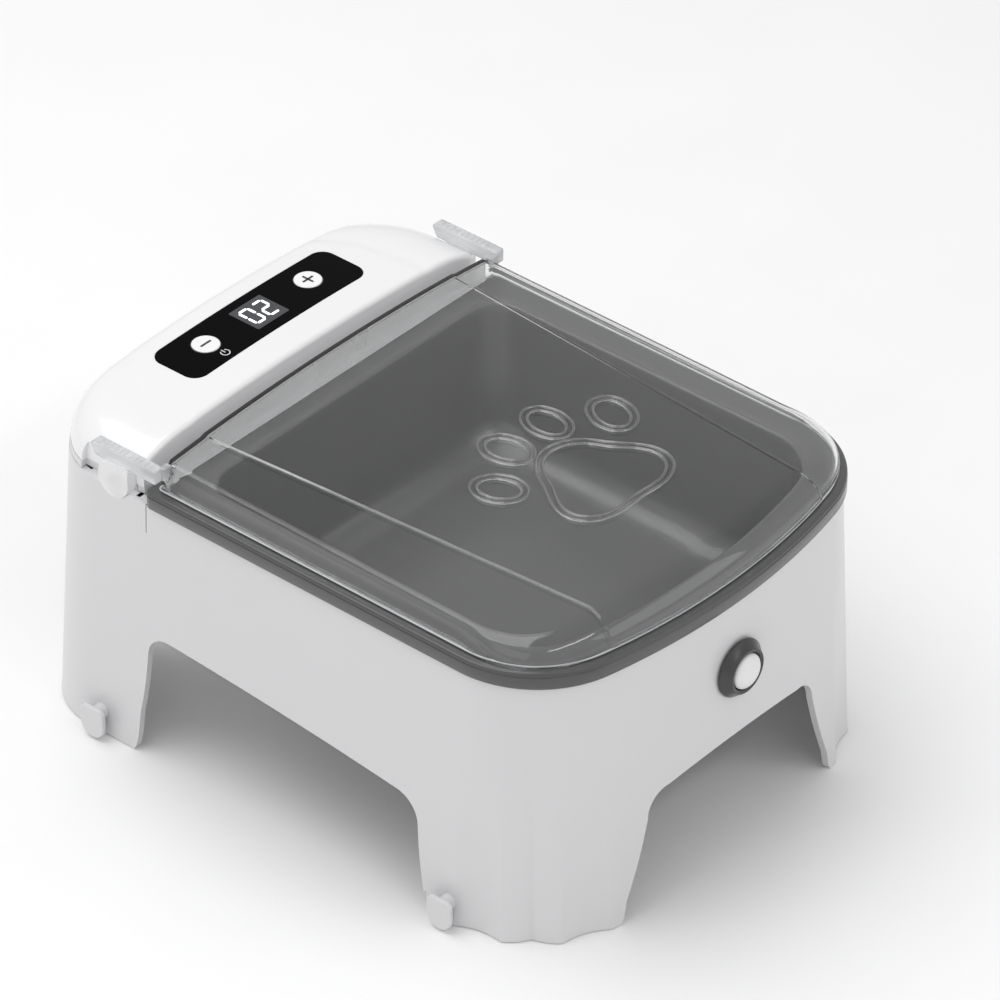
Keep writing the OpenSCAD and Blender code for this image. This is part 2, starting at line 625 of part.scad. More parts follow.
module outer_gear_plate() color("lightgray") difference() {
    union() {
        gear_plate(outer_plate_x, -1);
        rod_x(-pocket_x + 0.2, pivot_y, pivot_z, outer_plate_x + pocket_x - 0.1, boss_d);
    }
    rod_x(-pocket_x - 1, pivot_y, pivot_z, 20, bush_d + 0.04);
}
module inner_gear_plate() color("lightgray") difference() {
    gear_plate(inner_plate_x, 1);
    rod_x(inner_plate_x - 1, pivot_y, pivot_z, plate_t + 2, tail_d + 2 * run_gap);
    rod_x(inner_plate_x - 1, motor_y, motor_z, plate_t + 2, 5);
    for (s = [-1, 1]) rod_x(inner_plate_x - 1, motor_y + s * 7, motor_z, plate_t + 2, 1.9);
}
module plate_pillars() color("silver") for (p = pillars) difference() {
    rod_x(outer_plate_x + plate_t + 0.02, p[0], p[1], inner_plate_x - outer_plate_x - plate_t - 0.04, 5);
    rod_x(outer_plate_x, p[0], p[1], 30, 2.6);
}
module plate_screws() color("silver") for (p = pillars)
    translate([outer_plate_x + 0.2, p[0], p[1]]) rotate([0, 90, 0])
        screw(inner_plate_x + plate_t - outer_plate_x - 0.1, 2.5);

module drive_shaft() color("silver") union() {
    rod_x(-half_w + 0.4, pivot_y, pivot_z, half_w - 0.4 + layer_a + gear_w, shaft_d);
    rod_x(layer_a + gear_w - eps, pivot_y, pivot_z, flag_x + 2 - layer_a - gear_w, tail_d);
}
module bush(x, l) difference() {
    rod_x(x, pivot_y, pivot_z, l, bush_d);
    rod_x(x - 1, pivot_y, pivot_z, l + 2, shaft_d + 2 * run_gap);
}
module drive_bush() color("ivory") bush(-pocket_x + 0.2, outer_plate_x + plate_t + pocket_x - 0.3);
module hinge_pin() color("silver")
    rod_x(hinge_x - 1.5, pivot_y, pivot_z, half_w - 0.4 - hinge_x + 1.5, shaft_d);
module hinge_bush() color("ivory") bush(hinge_x - 1, pocket_x - 0.2 - hinge_x + 1);
module hinge_bracket() color("lightgray") difference() {
    union() {
        translate([hinge_x - 20, pivot_y - 8, rim_z + part_gap])
            cube([pocket_x - 3.2 - hinge_x + 20, 20, 2.2]);
        along_x(hinge_x - 1, pivot_y, 0, 4)
            translate([-7, rim_z + part_gap]) square([14, pivot_z - rim_z + 7]);
        rod_x(hinge_x, pivot_y, pivot_z, pocket_x - 0.2 - hinge_x, boss_d);
    }
    rod_x(hinge_x - 2, pivot_y, pivot_z, 30, bush_d + 0.04);
    for (dx = [-6, 6]) translate([bracket_x + dx, pivot_y + 6, rim_z - 1]) cylinder(h = 9, d = 2.6);
}
module bracket_screws() color("silver") for (dx = [-6, 6])
    translate([bracket_x + dx, pivot_y + 6, rim_z - ledge_t]) screw(ledge_t + 2.2 + 2 * part_gap, 2.1);
module position_flag() color("black") difference() {
    along_x(flag_x, pivot_y, pivot_z, 1) union() {
        circle(4);
        intersection() {
            circle(10);
            polygon([[0, 0], [14, 0], [14, 14], [5, 14]]);
        }
    }
    rod_x(flag_x - 1, pivot_y, pivot_z, 3, tail_d + 0.04);
}
module position_sensors() color("black") for (a = [12, 100])
    translate([flag_x - 2.5, pivot_y, pivot_z]) rotate([a, 0, 0]) translate([0, 7, -2.5]) difference() {
        cube([6, 6, 5]);
        translate([1.4, -1, -1]) cube([2.2, 5, 7]);
    }
module position_board() color("darkgreen") difference() {
    translate([flag_x + 3.55, pivot_y - 7, rim_z + 1]) cube([1.2, 22, 17]);
    rod_x(flag_x, pivot_y, pivot_z, 10, 7);
}

module sensor_bezel() color("dimgray") difference() {
    union() {
        translate([0, lens_y - 1.05, sensor_z]) rotate([90, 0, 0])
            cylinder(h = 4.5, d1 = bezel_d, d2 = bezel_d - 6);
        translate([0, lens_y + 3, sensor_z]) rotate([90, 0, 0])
            cylinder(h = 4.5, d = bezel_d - 5.1);
    }
    translate([0, lens_y + 5, sensor_z]) rotate([90, 0, 0]) cylinder(h = 20, d = dome_d + 0.1);
}
module sensor_lens() color("white") translate([0, lens_y - 4.5, sensor_z]) rotate([90, 0, 0]) difference() {
    union() {
        scale([1, 1, 0.4]) sphere(d = dome_d, $fn = 32);
        translate([0, 0, -7]) cylinder(h = 7, d = dome_d);
    }
    scale([1, 1, 0.4]) sphere(d = dome_d - 2.4, $fn = 32);
    translate([0, 0, -8]) cylinder(h = 8, d = dome_d - 2.4);
}
module sensor_board() color("darkgreen") difference() {
    translate([0, lens_y + 11.3, sensor_z]) cube([42, 1.2, 22], center = true);
    for (s = [-1, 1])
        translate([s * sensor_post_x, lens_y + 14, sensor_z]) rotate([90, 0, 0]) cylinder(h = 9, d = 2.5);
}
module sensor_element() color("silver") translate([0, lens_y + 10.6, sensor_z]) rotate([90, 0, 0]) {
    cylinder(h = 1, d = 9.2);
    cylinder(h = 4.2, d = 8.1);
}
module sensor_screws() color("silver") for (s = [-1, 1])
    translate([s * sensor_post_x, lens_y + 6.5, sensor_z]) rotate([-90, 0, 0]) screw(5.5, 2);
module sensor_ribbon() color("darkgray") intersection() {
    translate([0, 0, rim_z - 12]) linear_extrude(5) difference() {
        polygon(outline(5.4, rear_y, rear_r));
        polygon(outline(6.6, rear_y - 1.2, rear_r));
    }
    translate([-rim_w, front_y, 0]) cube([rim_w - 22, partition_y + 8 - front_y, stand_h]);
}
module cover_screws() color("silver") for (p = cover_holes)
    translate([p[0], p[1], rim_z + 6]) rotate([180, 0, 0]) screw(6 + ledge_t + part_gap, 2);
module base_screws() color("silver") for (p = base_holes)
    translate([p[0], p[1], base_z + 9]) rotate([180, 0, 0]) screw(9 + part_gap, 2.5);

stand_shell();
bowl();
lid();
control_cover();
compartment_base();
display_panel();
display_window();
display_digits();
led_display();
minus_key();
plus_key();
key_switches();
display_board();
display_screws();
main_board();
controller_chip();
board_sockets();
board_screws();
power_socket();
battery_cell();
battery_holder();
motor();
motor_screws();
motor_pinion();
first_gear();
second_gear();
output_gear();
gear_pins();
outer_gear_plate();
inner_gear_plate();
plate_pillars();
plate_screws();
drive_shaft();
drive_bush();
hinge_pin();
hinge_bush();
hinge_bracket();
bracket_screws();
position_flag();
position_sensors();
position_board();
sensor_bezel();
sensor_lens();
sensor_board();
sensor_element();
sensor_screws();
sensor_ribbon();
cover_screws();
base_screws();
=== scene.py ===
"""Looks of the automatic pet feeder: detailed pieces and procedural materials around the fixed frame.

Lengths inside the builders are millimetres in the frame's axes: +Z up, the front faces -Y.
"""
import json
import math

import bmesh
import bpy
import numpy as np
from bpy.props import FloatProperty, FloatVectorProperty, PointerProperty
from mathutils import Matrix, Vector


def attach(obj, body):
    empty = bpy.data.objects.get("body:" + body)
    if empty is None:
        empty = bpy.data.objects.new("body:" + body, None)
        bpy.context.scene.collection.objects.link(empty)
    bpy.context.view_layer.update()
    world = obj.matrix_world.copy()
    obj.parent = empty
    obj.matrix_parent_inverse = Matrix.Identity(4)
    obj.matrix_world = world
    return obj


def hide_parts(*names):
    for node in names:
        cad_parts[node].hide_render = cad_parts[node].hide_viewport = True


bl_info = {
    "name": "Automatic pet feeder",
    "version": (1, 0, 0),
    "blender": (4, 5, 0),
    "location": "View3D > Sidebar > Pet feeder",
    "description": "Builds the visible pieces of an automatic pet feeder around its packed frame",
    "category": "Add Mesh",
}

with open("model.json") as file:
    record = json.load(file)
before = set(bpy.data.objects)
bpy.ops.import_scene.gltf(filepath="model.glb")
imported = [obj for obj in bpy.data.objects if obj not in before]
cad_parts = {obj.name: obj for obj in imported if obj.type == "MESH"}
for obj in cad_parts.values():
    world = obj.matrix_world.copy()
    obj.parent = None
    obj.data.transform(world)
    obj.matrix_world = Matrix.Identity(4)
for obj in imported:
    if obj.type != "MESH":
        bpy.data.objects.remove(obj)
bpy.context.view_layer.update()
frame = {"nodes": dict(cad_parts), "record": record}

MM = 0.001


# ---------------------------------------------------------------- settings

def length(name, text, default):
    """A length setting in metres, given here in millimetres."""
    return FloatProperty(name=name, description=text, default=default * MM, min=0, unit="LENGTH", precision=4)


def colour(name, text, default):
    """A colour setting, linear RGB."""
    return FloatVectorProperty(name=name, description=text, default=default, min=0, max=1, size=3,
                               subtype="COLOR")


class FeederSizes(bpy.types.PropertyGroup):
    """Sizes of the visible pieces."""
    rim_width: length("Rim width", "Width of the bowl's rim", 220)
    front_y: length("Front reach", "Distance of the rim's front edge ahead of the origin", 145.19)
    rear_y: length("Rear reach", "Distance of the stand's rear wall behind the origin", 147.31)
    rim_rear: length("Rim rear", "Distance of the rim's rear edge behind the origin", 82.81)
    stand_height: length("Stand height", "Floor to the underside of the rim", 128)
    flare: length("Flare", "How far each wall leans out towards the floor", 5.5)
    wall: length("Wall", "Wall thickness of the stand", 3)
    arch_height: length("Arch height", "Height of the openings between the legs", 61)
    rim_height: length("Rim height", "Height of the edge of the bowl's rim", 8)
    bowl_depth: length("Bowl depth", "Rim to the bowl's floor", 60)
    lid_thickness: length("Lid thickness", "Wall thickness of the clear lid", 2.0)
    panel_width: length("Panel width", "Width of the black panel", 109)
    panel_length: length("Panel length", "Length of the black panel, front to rear", 28)
    key_diameter: length("Key diameter", "Diameter of the two keys", 12.4)
    key_x: length("Key place", "Distance of each key from the middle", 32)
    bezel_diameter: length("Bezel diameter", "Diameter of the sensor's dark ring", 26.5)
    dome_diameter: length("Dome diameter", "Diameter of the sensor's white dome", 16)
    flute_depth: length("Flute depth", "Depth of the flutes of the front corners at the floor", 3.2)


class FeederColours(bpy.types.PropertyGroup):
    """Colours of the visible pieces."""
    stand: colour("Stand", "White moulding of the stand", (0.68, 0.68, 0.69))
    cover: colour("Module", "White gloss of the control module", (0.84, 0.84, 0.85))
    bowl: colour("Bowl", "Grey of the bowl and its rim", (0.07, 0.07, 0.072))
    lid: colour("Lid", "Tint of the clear lid", (0.985, 0.99, 0.99))
    panel: colour("Panel", "Black of the display panel", (0.002, 0.002, 0.0025))
    bezel: colour("Bezel", "Dark ring of the sensor", (0.05, 0.05, 0.052))
    lit: colour("Lit digits", "Light of the digits", (0.9, 0.95, 1.0))
    floor: colour("Floor", "Floor of the studio", (0.95, 0.95, 0.95))


class Sizes:
    """The settings in millimetres, with the values that follow from them."""

    def __init__(self, context):
        p = context.scene.feeder_sizes
        for key in p.bl_rna.properties.keys():
            if key not in ("rna_type", "name"):
                setattr(self, key, getattr(p, key) / MM)
        self.half_w = self.rim_width / 2
        self.front_y = -self.front_y
        self.corner_r = 48.0
        self.bow_r = 330.0
        self.corner_x = self.half_w - self.corner_r
        self.bow_y = self.front_y + self.bow_r
        self.corner_y = self.bow_y - math.sqrt((self.bow_r - self.corner_r) ** 2 - self.corner_x ** 2)
        self.corner_end = 180 + math.degrees(math.atan2(self.bow_y - self.corner_y, self.corner_x))
        self.shell_in = 1.5
        self.rim_z = self.stand_height
        self.rim_top = self.rim_z + self.rim_height
        self.lid_z = self.rim_top + 0.3
        self.crown_top = self.rim_top + 16.2
        self.rear_r = 36.0
        self.lid_rear = self.rim_rear - 5
        self.pivot_y = self.lid_rear + 22.5
        self.pivot_z = self.rim_top - 3
        self.crease_rear, self.crease_front = 78.0, 63.5
        self.crease_w, self.crease_step = 1.1, 0.7
        self.arm_x = self.half_w - 5.7
        self.arm_top = self.rim_top + 12
        self.arm_end = self.pivot_y + 12
        self.pocket_x = self.arm_x - 0.4
        self.module_front = self.lid_rear + 10
        self.module_rear = self.rear_y - 2
        self.panel_y = self.module_front + 30.3
        self.key_y = self.panel_y + 1
        self.sensor_z = 95.0
        self.lens_y = self.front_y - (self.flare * (1 - self.sensor_z / self.rim_z) - self.shell_in)

    def crown(self, x):
        """Height of the shared crown of lid and module."""
        return self.crown_top - 4.2 * (x / (self.half_w - 9)) ** 2


# ---------------------------------------------------------------- shapes in plan

def outline(s, inset, y_rear, r_rear, side_steps=24, rear_steps=24):
    """Closed outline in plan, anticlockwise from the rear left, a set distance inside the rim's edge."""
    pts = []
    x_end = s.half_w - inset - r_rear
    for a in np.radians(np.linspace(90, 180, 9)):
        pts.append((-x_end + r_rear * math.cos(a), y_rear - r_rear + r_rear * math.sin(a)))
    for y in np.linspace(y_rear - r_rear, s.corner_y, side_steps + 1)[1:-1]:
        pts.append((-(s.half_w - inset), y))
    r = s.corner_r - inset
    for a in np.radians(np.linspace(180, s.corner_end, 25)):
        pts.append((-s.corner_x + r * math.cos(a), s.corner_y + r * math.sin(a)))
    for a in np.radians(np.linspace(s.corner_end, 540 - s.corner_end, 33)[1:-1]):
        pts.append(((s.bow_r - inset) * math.cos(a), s.bow_y + (s.bow_r - inset) * math.sin(a)))
    left = [p for p in pts if p[0] < -1e-6]
    middle = [p for p in pts if abs(p[0]) <= 1e-6]
    right = [(-x, y) for x, y in reversed(left)]
    # a point that the bow gave twice is kept once
    seen, out = set(), []
    for p in left + middle + right:
        key = (round(p[0], 5), round(p[1], 5))
        if key not in seen:
            seen.add(key)
            out.append(p)
    for x in np.linspace(x_end, -x_end, rear_steps + 1)[1:-1]:
        out.append((x, y_rear))
    return np.array(out)


def outward(loop):
    """Outward normals in plan of a closed anticlockwise loop."""
    d = np.roll(loop, -1, axis=0) - np.roll(loop, 1, axis=0)
    n = np.stack([d[:, 1], -d[:, 0]], axis=1)
    return n / np.linalg.norm(n, axis=1)[:, None]


def rounded_rect(w, l, r, n=8, step=3.0):
    """Anticlockwise rounded rectangle about the origin from the rear left, with points along its sides."""
    corners = []
    for cx, cy, a0 in ((-1, 1, 90), (-1, -1, 180), (1, -1, 270), (1, 1, 0)):
        corners += [(cx * (w / 2 - r) + r * math.cos(a), cy * (l / 2 - r) + r * math.sin(a))
                    for a in np.radians(np.linspace(a0, a0 + 90, n))]
    pts = []
    for k, p in enumerate(np.array(corners)):
        q = np.array(corners[(k + 1) % len(corners)])
        gap = np.linalg.norm(q - p)
        parts = max(1, int(gap / step)) if gap > step else 1
        pts += [tuple(p + (q - p) * i / parts) for i in range(parts)]
    return np.array(pts)


# ---------------------------------------------------------------- meshes

def make(name, verts, faces, material, body, sharp=35, smooth=True):
    """Makes a mesh object from millimetres, gives it its material and lets it ride on a body."""
    mesh = bpy.data.meshes.new(name)
    mesh.from_pydata([tuple(c * MM for c in v) for v in verts], [], faces)
    mesh.validate()
    work = bmesh.new()
    work.from_mesh(mesh)
    bmesh.ops.remove_doubles(work, verts=work.verts, dist=1e-6)
    bmesh.ops.recalc_face_normals(work, faces=work.faces)
    work.to_mesh(mesh)
    work.free()
    if smooth:
        mesh.shade_smooth()
        mesh.set_sharp_from_angle(angle=math.radians(sharp))
    obj = bpy.data.objects.new(name, mesh)
    bpy.context.scene.collection.objects.link(obj)
    if material is not None:
        mesh.materials.append(material)
    if body:
        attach(obj, body)
    return obj


def loft(loops, close_start=False, close_end=False, ring=True):
    """Vertices and faces of a surface through loops of equally many points."""
    n = len(loops[0])
    verts = [tuple(p) for loop in loops for p in loop]
    faces = []
    span = n if ring else n - 1
    for k in range(len(loops) - 1):
        for i in range(span):
            j = (i + 1) % n
            faces.append((k * n + i, k * n + j, (k + 1) * n + j, (k + 1) * n + i))
    if close_start:
        faces.append(tuple(reversed(range(n))))
    if close_end:
        faces.append(tuple((len(loops) - 1) * n + i for i in range(n)))
    return verts, faces


def level(plan, z):
    """A plan loop lifted to a height, one number or one for each point."""
    return np.column_stack([plan, np.broadcast_to(z, len(plan))])


def thicken(obj, t, offset=-1):
    """Wall thickness as a modifier, in millimetres."""
    mod = obj.modifiers.new("wall", "SOLIDIFY")
    mod.thickness = t * MM
    mod.offset = offset
    mod.use_even_offset = True
    mod.use_quality_normals = True
    return mod


def soften(obj, width, segments=3, angle=40):
    """Rounded edges as a modifier, in millimetres."""
    mod = obj.modifiers.new("edges", "BEVEL")
    mod.width = width * MM
    mod.segments = segments
    mod.limit_method = "ANGLE"
    mod.angle_limit = math.radians(angle)
    mod.harden_normals = True
    return mod


def apply_modifiers(obj):
    """Turns the modifiers into the mesh."""
    graph = bpy.context.evaluated_depsgraph_get()
    mesh = bpy.data.meshes.new_from_object(obj.evaluated_get(graph))
    obj.modifiers.clear()
    obj.data = mesh
    return obj


def cut(obj, *cutters):
    """Cuts solid shapes out of an object and removes the cutters."""
    for c in cutters:
        mod = obj.modifiers.new("cut", "BOOLEAN")
        mod.operation = "DIFFERENCE"
        mod.solver = "EXACT"
        mod.object = c
    apply_modifiers(obj)
    for c in cutters:
        bpy.data.objects.remove(c)
    obj.data.shade_smooth()
    obj.data.set_sharp_from_angle(angle=math.radians(35))
    return obj


def prism(name, plan, low, high, material, body, axis="Z", edge=0.0, segments=3):
    """A plan polygon pulled straight along an axis, with softened edges."""
    low_loop, high_loop = level(np.array(plan, float), low), level(np.array(plan, float), high)
    if axis == "X":
        low_loop, high_loop = low_loop[:, [2, 0, 1]], high_loop[:, [2, 0, 1]]
    if axis == "Y":
        low_loop, high_loop = low_loop[:, [0, 2, 1]], high_loop[:, [0, 2, 1]]
    verts, faces = loft([low_loop, high_loop], True, True)
    obj = make(name, verts, faces, material, body)
    if edge:
        soften(obj, edge, segments)
    return obj


def box(name, low, high, material, body, edge=0.4):
    """A box between two corners with softened edges."""
    (x0, y0, z0), (x1, y1, z1) = low, high
    return prism(name, [(x0, y0), (x1, y0), (x1, y1), (x0, y1)], z0, z1, material, body, edge=edge)


def turned(name, profile, centre, axis, material, body, steps=96):
    """A shape turned about an axis through centre. The profile lists (radius, height along the axis)."""
    loops = []
    for r, h in profile:
        a = np.linspace(0, 2 * math.pi, steps, endpoint=False)
        u, v, w = max(r, 1e-4) * np.cos(a), max(r, 1e-4) * np.sin(a), np.full(steps, h)
        if axis == "Z":
            loop = np.column_stack([u, v, w])
        elif axis == "X":
            loop = np.column_stack([w, u, v])
        else:
            loop = np.column_stack([v, w, u])
        loops.append(loop + np.array(centre))
    verts, faces = loft(loops)
    return make(name, verts, faces, material, body, sharp=50)


def arc(cx, cy, r, start, end, n=6):
    """Points of an arc, degrees, as (radius, height) or any other pair."""
    return [(cx + r * math.cos(a), cy + r * math.sin(a)) for a in np.radians(np.linspace(start, end, n))]


# ---------------------------------------------------------------- materials

def new_group(name, inputs, outputs):
    """An empty shader node group with float, colour or vector sockets."""
    kinds = {"f": "NodeSocketFloat", "c": "NodeSocketColor", "v": "NodeSocketVector"}
    group = bpy.data.node_groups.new(name, "ShaderNodeTree")
    for title, kind, default in inputs:
        socket = group.interface.new_socket(name=title, in_out="INPUT", socket_type=kinds[kind])
        socket.default_value = default
    for title, kind in outputs:
        group.interface.new_socket(name=title, in_out="OUTPUT", socket_type=kinds[kind])
    return group, group.nodes.new("NodeGroupInput"), group.nodes.new("NodeGroupOutput")


def mould_group():
    """Fine moulded grain: colour that varies a little, roughness that varies a little, and a normal."""
    if "mould_grain" in bpy.data.node_groups:
        return bpy.data.node_groups["mould_grain"]
    group, gin, gout = new_group(
        "mould_grain",
        [("Colour", "c", (0.8, 0.8, 0.8, 1)), ("Roughness", "f", 0.35), ("Grain size", "f", 2600.0),
         ("Grain depth", "f", 0.04), ("Waviness", "f", 0.02)],
        [("Colour", "c"), ("Roughness", "f"), ("Normal", "v")])
    add, link = group.nodes.new, group.links.new
    where = add("ShaderNodeTexCoord")
    fine, broad, cloud = add("ShaderNodeTexNoise"), add("ShaderNodeTexNoise"), add("ShaderNodeTexNoise")
    fine.inputs["Detail"].default_value = 2
    broad.inputs["Scale"].default_value = 26
    cloud.inputs["Scale"].default_value = 11
    link(gin.outputs["Grain size"], fine.inputs["Scale"])
    for n in (fine, broad, cloud):
        link(where.outputs["Object"], n.inputs["Vector"])
    tint = add("ShaderNodeMapRange")
    tint.inputs["To Min"].default_value = 0.975
    tint.inputs["To Max"].default_value = 1.015
    link(cloud.outputs["Fac"], tint.inputs["Value"])
    scaled = add("ShaderNodeVectorMath")
    scaled.operation = "SCALE"
    link(gin.outputs["Colour"], scaled.inputs[0])
    link(tint.outputs["Result"], scaled.inputs["Scale"])
    link(scaled.outputs["Vector"], gout.inputs["Colour"])
    shift = add("ShaderNodeMapRange")
    shift.inputs["To Min"].default_value = -0.03
    shift.inputs["To Max"].default_value = 0.03
    link(fine.outputs["Fac"], shift.inputs["Value"])
    total = add("ShaderNodeMath")
    total.operation = "ADD"
    link(gin.outputs["Roughness"], total.inputs[0])
    link(shift.outputs["Result"], total.inputs[1])
    link(total.outputs["Value"], gout.inputs["Roughness"])
    wave, grain = add("ShaderNodeBump"), add("ShaderNodeBump")
    wave.inputs["Distance"].default_value = 0.0006
    grain.inputs["Distance"].default_value = 0.00006
    link(broad.outputs["Fac"], wave.inputs["Height"])
    link(gin.outputs["Waviness"], wave.inputs["Strength"])
    link(fine.outputs["Fac"], grain.inputs["Height"])
    link(gin.outputs["Grain depth"], grain.inputs["Strength"])
    link(wave.outputs["Normal"], grain.inputs["Normal"])
    link(grain.outputs["Normal"], gout.inputs["Normal"])
    return group


def plastic(name, tint, rough=0.35, depth=0.05, size=2600.0, wave=0.02, coat=0.0, specular=0.5, metallic=0.0):
    """A moulded plastic, or a metal with the same fine grain."""
    if name in bpy.data.materials:
        return bpy.data.materials[name]
    mat = bpy.data.materials.new(name)
    mat.use_nodes = True
    shader = mat.node_tree.nodes["Principled BSDF"]
    grain = mat.node_tree.nodes.new("ShaderNodeGroup")
    grain.node_tree = mould_group()
    grain.inputs["Colour"].default_value = (*tint, 1)
    grain.inputs["Roughness"].default_value = rough
    grain.inputs["Grain size"].default_value = size
    grain.inputs["Grain depth"].default_value = depth
    grain.inputs["Waviness"].default_value = wave
    link = mat.node_tree.links.new
    link(grain.outputs["Colour"], shader.inputs["Base Color"])
    link(grain.outputs["Roughness"], shader.inputs["Roughness"])
    link(grain.outputs["Normal"], shader.inputs["Normal"])
    shader.inputs["Coat Weight"].default_value = coat
    shader.inputs["Coat Roughness"].default_value = 0.06
    shader.inputs["Specular IOR Level"].default_value = specular
    shader.inputs["Metallic"].default_value = metallic
    mat.diffuse_color = (*tint, 1)
    return mat


def clear(name, tint, rough=0.02, bubbly=0.0, ior=1.3, through_share=1.0):
    """Clear plastic that lets light through to what it covers."""
    if name in bpy.data.materials:
        return bpy.data.materials[name]
    mat = bpy.data.materials.new(name)
    mat.use_nodes = True
    nodes, link = mat.node_tree.nodes, mat.node_tree.links.new
    shader, out = nodes["Principled BSDF"], nodes["Material Output"]
    shader.inputs["Base Color"].default_value = (*tint, 1)
    shader.inputs["Transmission Weight"].default_value = through_share
    shader.inputs["IOR"].default_value = ior
    where = nodes.new("ShaderNodeTexCoord")
    noise = nodes.new("ShaderNodeTexNoise")
    noise.inputs["Scale"].default_value = 420 if bubbly else 30
    link(where.outputs["Object"], noise.inputs["Vector"])
    vary = nodes.new("ShaderNodeMapRange")
    vary.inputs["To Min"].default_value = rough * 0.6
    vary.inputs["To Max"].default_value = rough * 1.4
    link(noise.outputs["Fac"], vary.inputs["Value"])
    link(vary.outputs["Result"], shader.inputs["Roughness"])
    bump = nodes.new("ShaderNodeBump")
    bump.inputs["Strength"].default_value = bubbly if bubbly else 0.05
    bump.inputs["Distance"].default_value = 0.0008
    link(noise.outputs["Fac"], bump.inputs["Height"])
    link(bump.outputs["Normal"], shader.inputs["Normal"])
    path = nodes.new("ShaderNodeLightPath")
    through = nodes.new("ShaderNodeBsdfTransparent")
    through.inputs["Color"].default_value = (*[0.9 + 0.08 * c for c in tint], 1)
    mix = nodes.new("ShaderNodeMixShader")
    link(path.outputs["Is Shadow Ray"], mix.inputs["Fac"])
    link(shader.outputs["BSDF"], mix.inputs[1])
    link(through.outputs["BSDF"], mix.inputs[2])
    link(mix.outputs["Shader"], out.inputs["Surface"])
    mat.diffuse_color = (*tint, 0.3)
    return mat


def lit(name, tint, strength):
    """A light that shows through the window."""
    if name in bpy.data.materials:
        return bpy.data.materials[name]
    mat = bpy.data.materials.new(name)
    mat.use_nodes = True
    nodes, link = mat.node_tree.nodes, mat.node_tree.links.new
    shader = nodes["Principled BSDF"]
    shader.inputs["Base Color"].default_value = (*tint, 1)
    shader.inputs["Emission Color"].default_value = (*tint, 1)
    where = nodes.new("ShaderNodeTexCoord")
    noise = nodes.new("ShaderNodeTexNoise")
    vary = nodes.new("ShaderNodeMapRange")
    noise.inputs["Scale"].default_value = 900
    vary.inputs["To Min"].default_value = strength * 0.94
    vary.inputs["To Max"].default_value = strength * 1.06
    link(where.outputs["Object"], noise.inputs["Vector"])
    link(noise.outputs["Fac"], vary.inputs["Value"])
    link(vary.outputs["Result"], shader.inputs["Emission Strength"])
    return mat


def palette(context):
    """The materials of the visible pieces."""
    c = context.scene.feeder_colours
    return {
        "stand": plastic("stand_white", c.stand, 0.3, 0.05, 2600, 0.03, 0.15),
        "cover": plastic("module_white", c.cover, 0.2, 0.02, 2600, 0.02, 0.5),
        "bowl": plastic("bowl_grey", c.bowl, 0.26, 0.006, 2200, 0.02, 0.15),
        "lid": clear("lid_clear", c.lid, 0.02, 0.0, 1.42),
        "arm": clear("arm_clear", (0.74, 0.75, 0.76), 0.15, 0.06, 1.3, 0.6),
        "ear": clear("ear_frosted", (0.95, 0.95, 0.955), 0.4, 0.05, 1.3, 0.3),
        # painted light: a whitish half-clear sheet brightens the strip between the lid's rear edge and the
        # module
        "haze": clear("lid_rear_haze", (0.95, 0.95, 0.955), 0.3, 0.0, 1.3, 0.5),
        "ring": clear("emboss_clear", (1.0, 1.0, 1.0), 0.05, 0.0, 1.65),
        # painted highlight: a light grey ring on the dark rim stands for the bright line along the lid's base
        "lip": plastic("lid_lip_polish", (0.5, 0.51, 0.52), 0.12, 0.01, 2600, 0.0, 0.6),
        "panel": plastic("panel_black", c.panel, 0.28, 0.01, 2600, 0.01, 0.0, 0.03),
        "window": plastic("window_smoked", (0.07, 0.07, 0.075), 0.3, 0.3, 1500, 0.01, 0.0, 0.2),
        "lit": lit("digit_light", c.lit, 1.1),
        "key": plastic("key_white", (0.86, 0.86, 0.87), 0.3, 0.03),
        "mark": plastic("key_mark", (0.02, 0.02, 0.022), 0.4, 0.03),
        "print": plastic("print_white", (0.75, 0.76, 0.77), 0.5, 0.03),
        "bezel": plastic("bezel_dark", c.bezel, 0.3, 0.05),
        "dome": plastic("dome_white", (0.82, 0.82, 0.82), 0.32, 0.02),
        "gap": plastic("seam_shadow", (0.05, 0.05, 0.05), 0.7, 0.05),
        # painted shade: a near-black strip stands for the dark line at the lid's rear edge
        "edge": plastic("lid_edge_tint", (0.012, 0.012, 0.013), 0.3, 0.02),
    }


# ---------------------------------------------------------------- stand

def arch_curve(half_floor, half_top, h, sag, slope, centre):
    """Edge of an opening between two legs: (place along the wall, height), left foot to right foot."""
    r = 12.0
    flat = half_top - r
    right = [(half_floor + 1.6, 0.0), (half_floor + 0.4, 2.0), (half_floor - 0.6, 6.0)]
    low, top = np.array((half_floor - 1.2, 10.0)), np.array((flat + r, h - sag - r))
    for t in np.linspace(0, 1, 9)[:-1]:
        p = low + (top - low) * t
        right.append((p[0] - 0.8 * math.sin(math.pi * t), p[1]))
    for a in np.radians(np.linspace(0, 90, 13)):
        right.append((flat + r * math.cos(a), h - sag - r + r * math.sin(a)))
    for x in np.linspace(flat, 0, 13)[1:]:
        right.append((x, h - sag * (x / flat) ** 2))
    both = [(-x, z) for x, z in right] + [(x, z) for x, z in reversed(right[:-1])]
    return np.array([(centre + x, z + (slope * x if z > 10 else 0)) for x, z in both])


def flute(s, turn, z):
    """How far a front corner is drawn in at a turn from the side, in degrees, and a height."""
    fade = np.clip(1 - z / 92.0, 0, 1) ** 1.15
    wide = max(0.0, 1 - ((turn - 12.2) / 12.3) ** 2) + max(0.0, 1 - ((turn - 65.0) / 12.3) ** 2)
    groove = max(0.0, 1 - abs(turn - 38.6) / 13.5) ** 1.4
    return s.flute_depth * fade * (wide + 1.1 * groove)


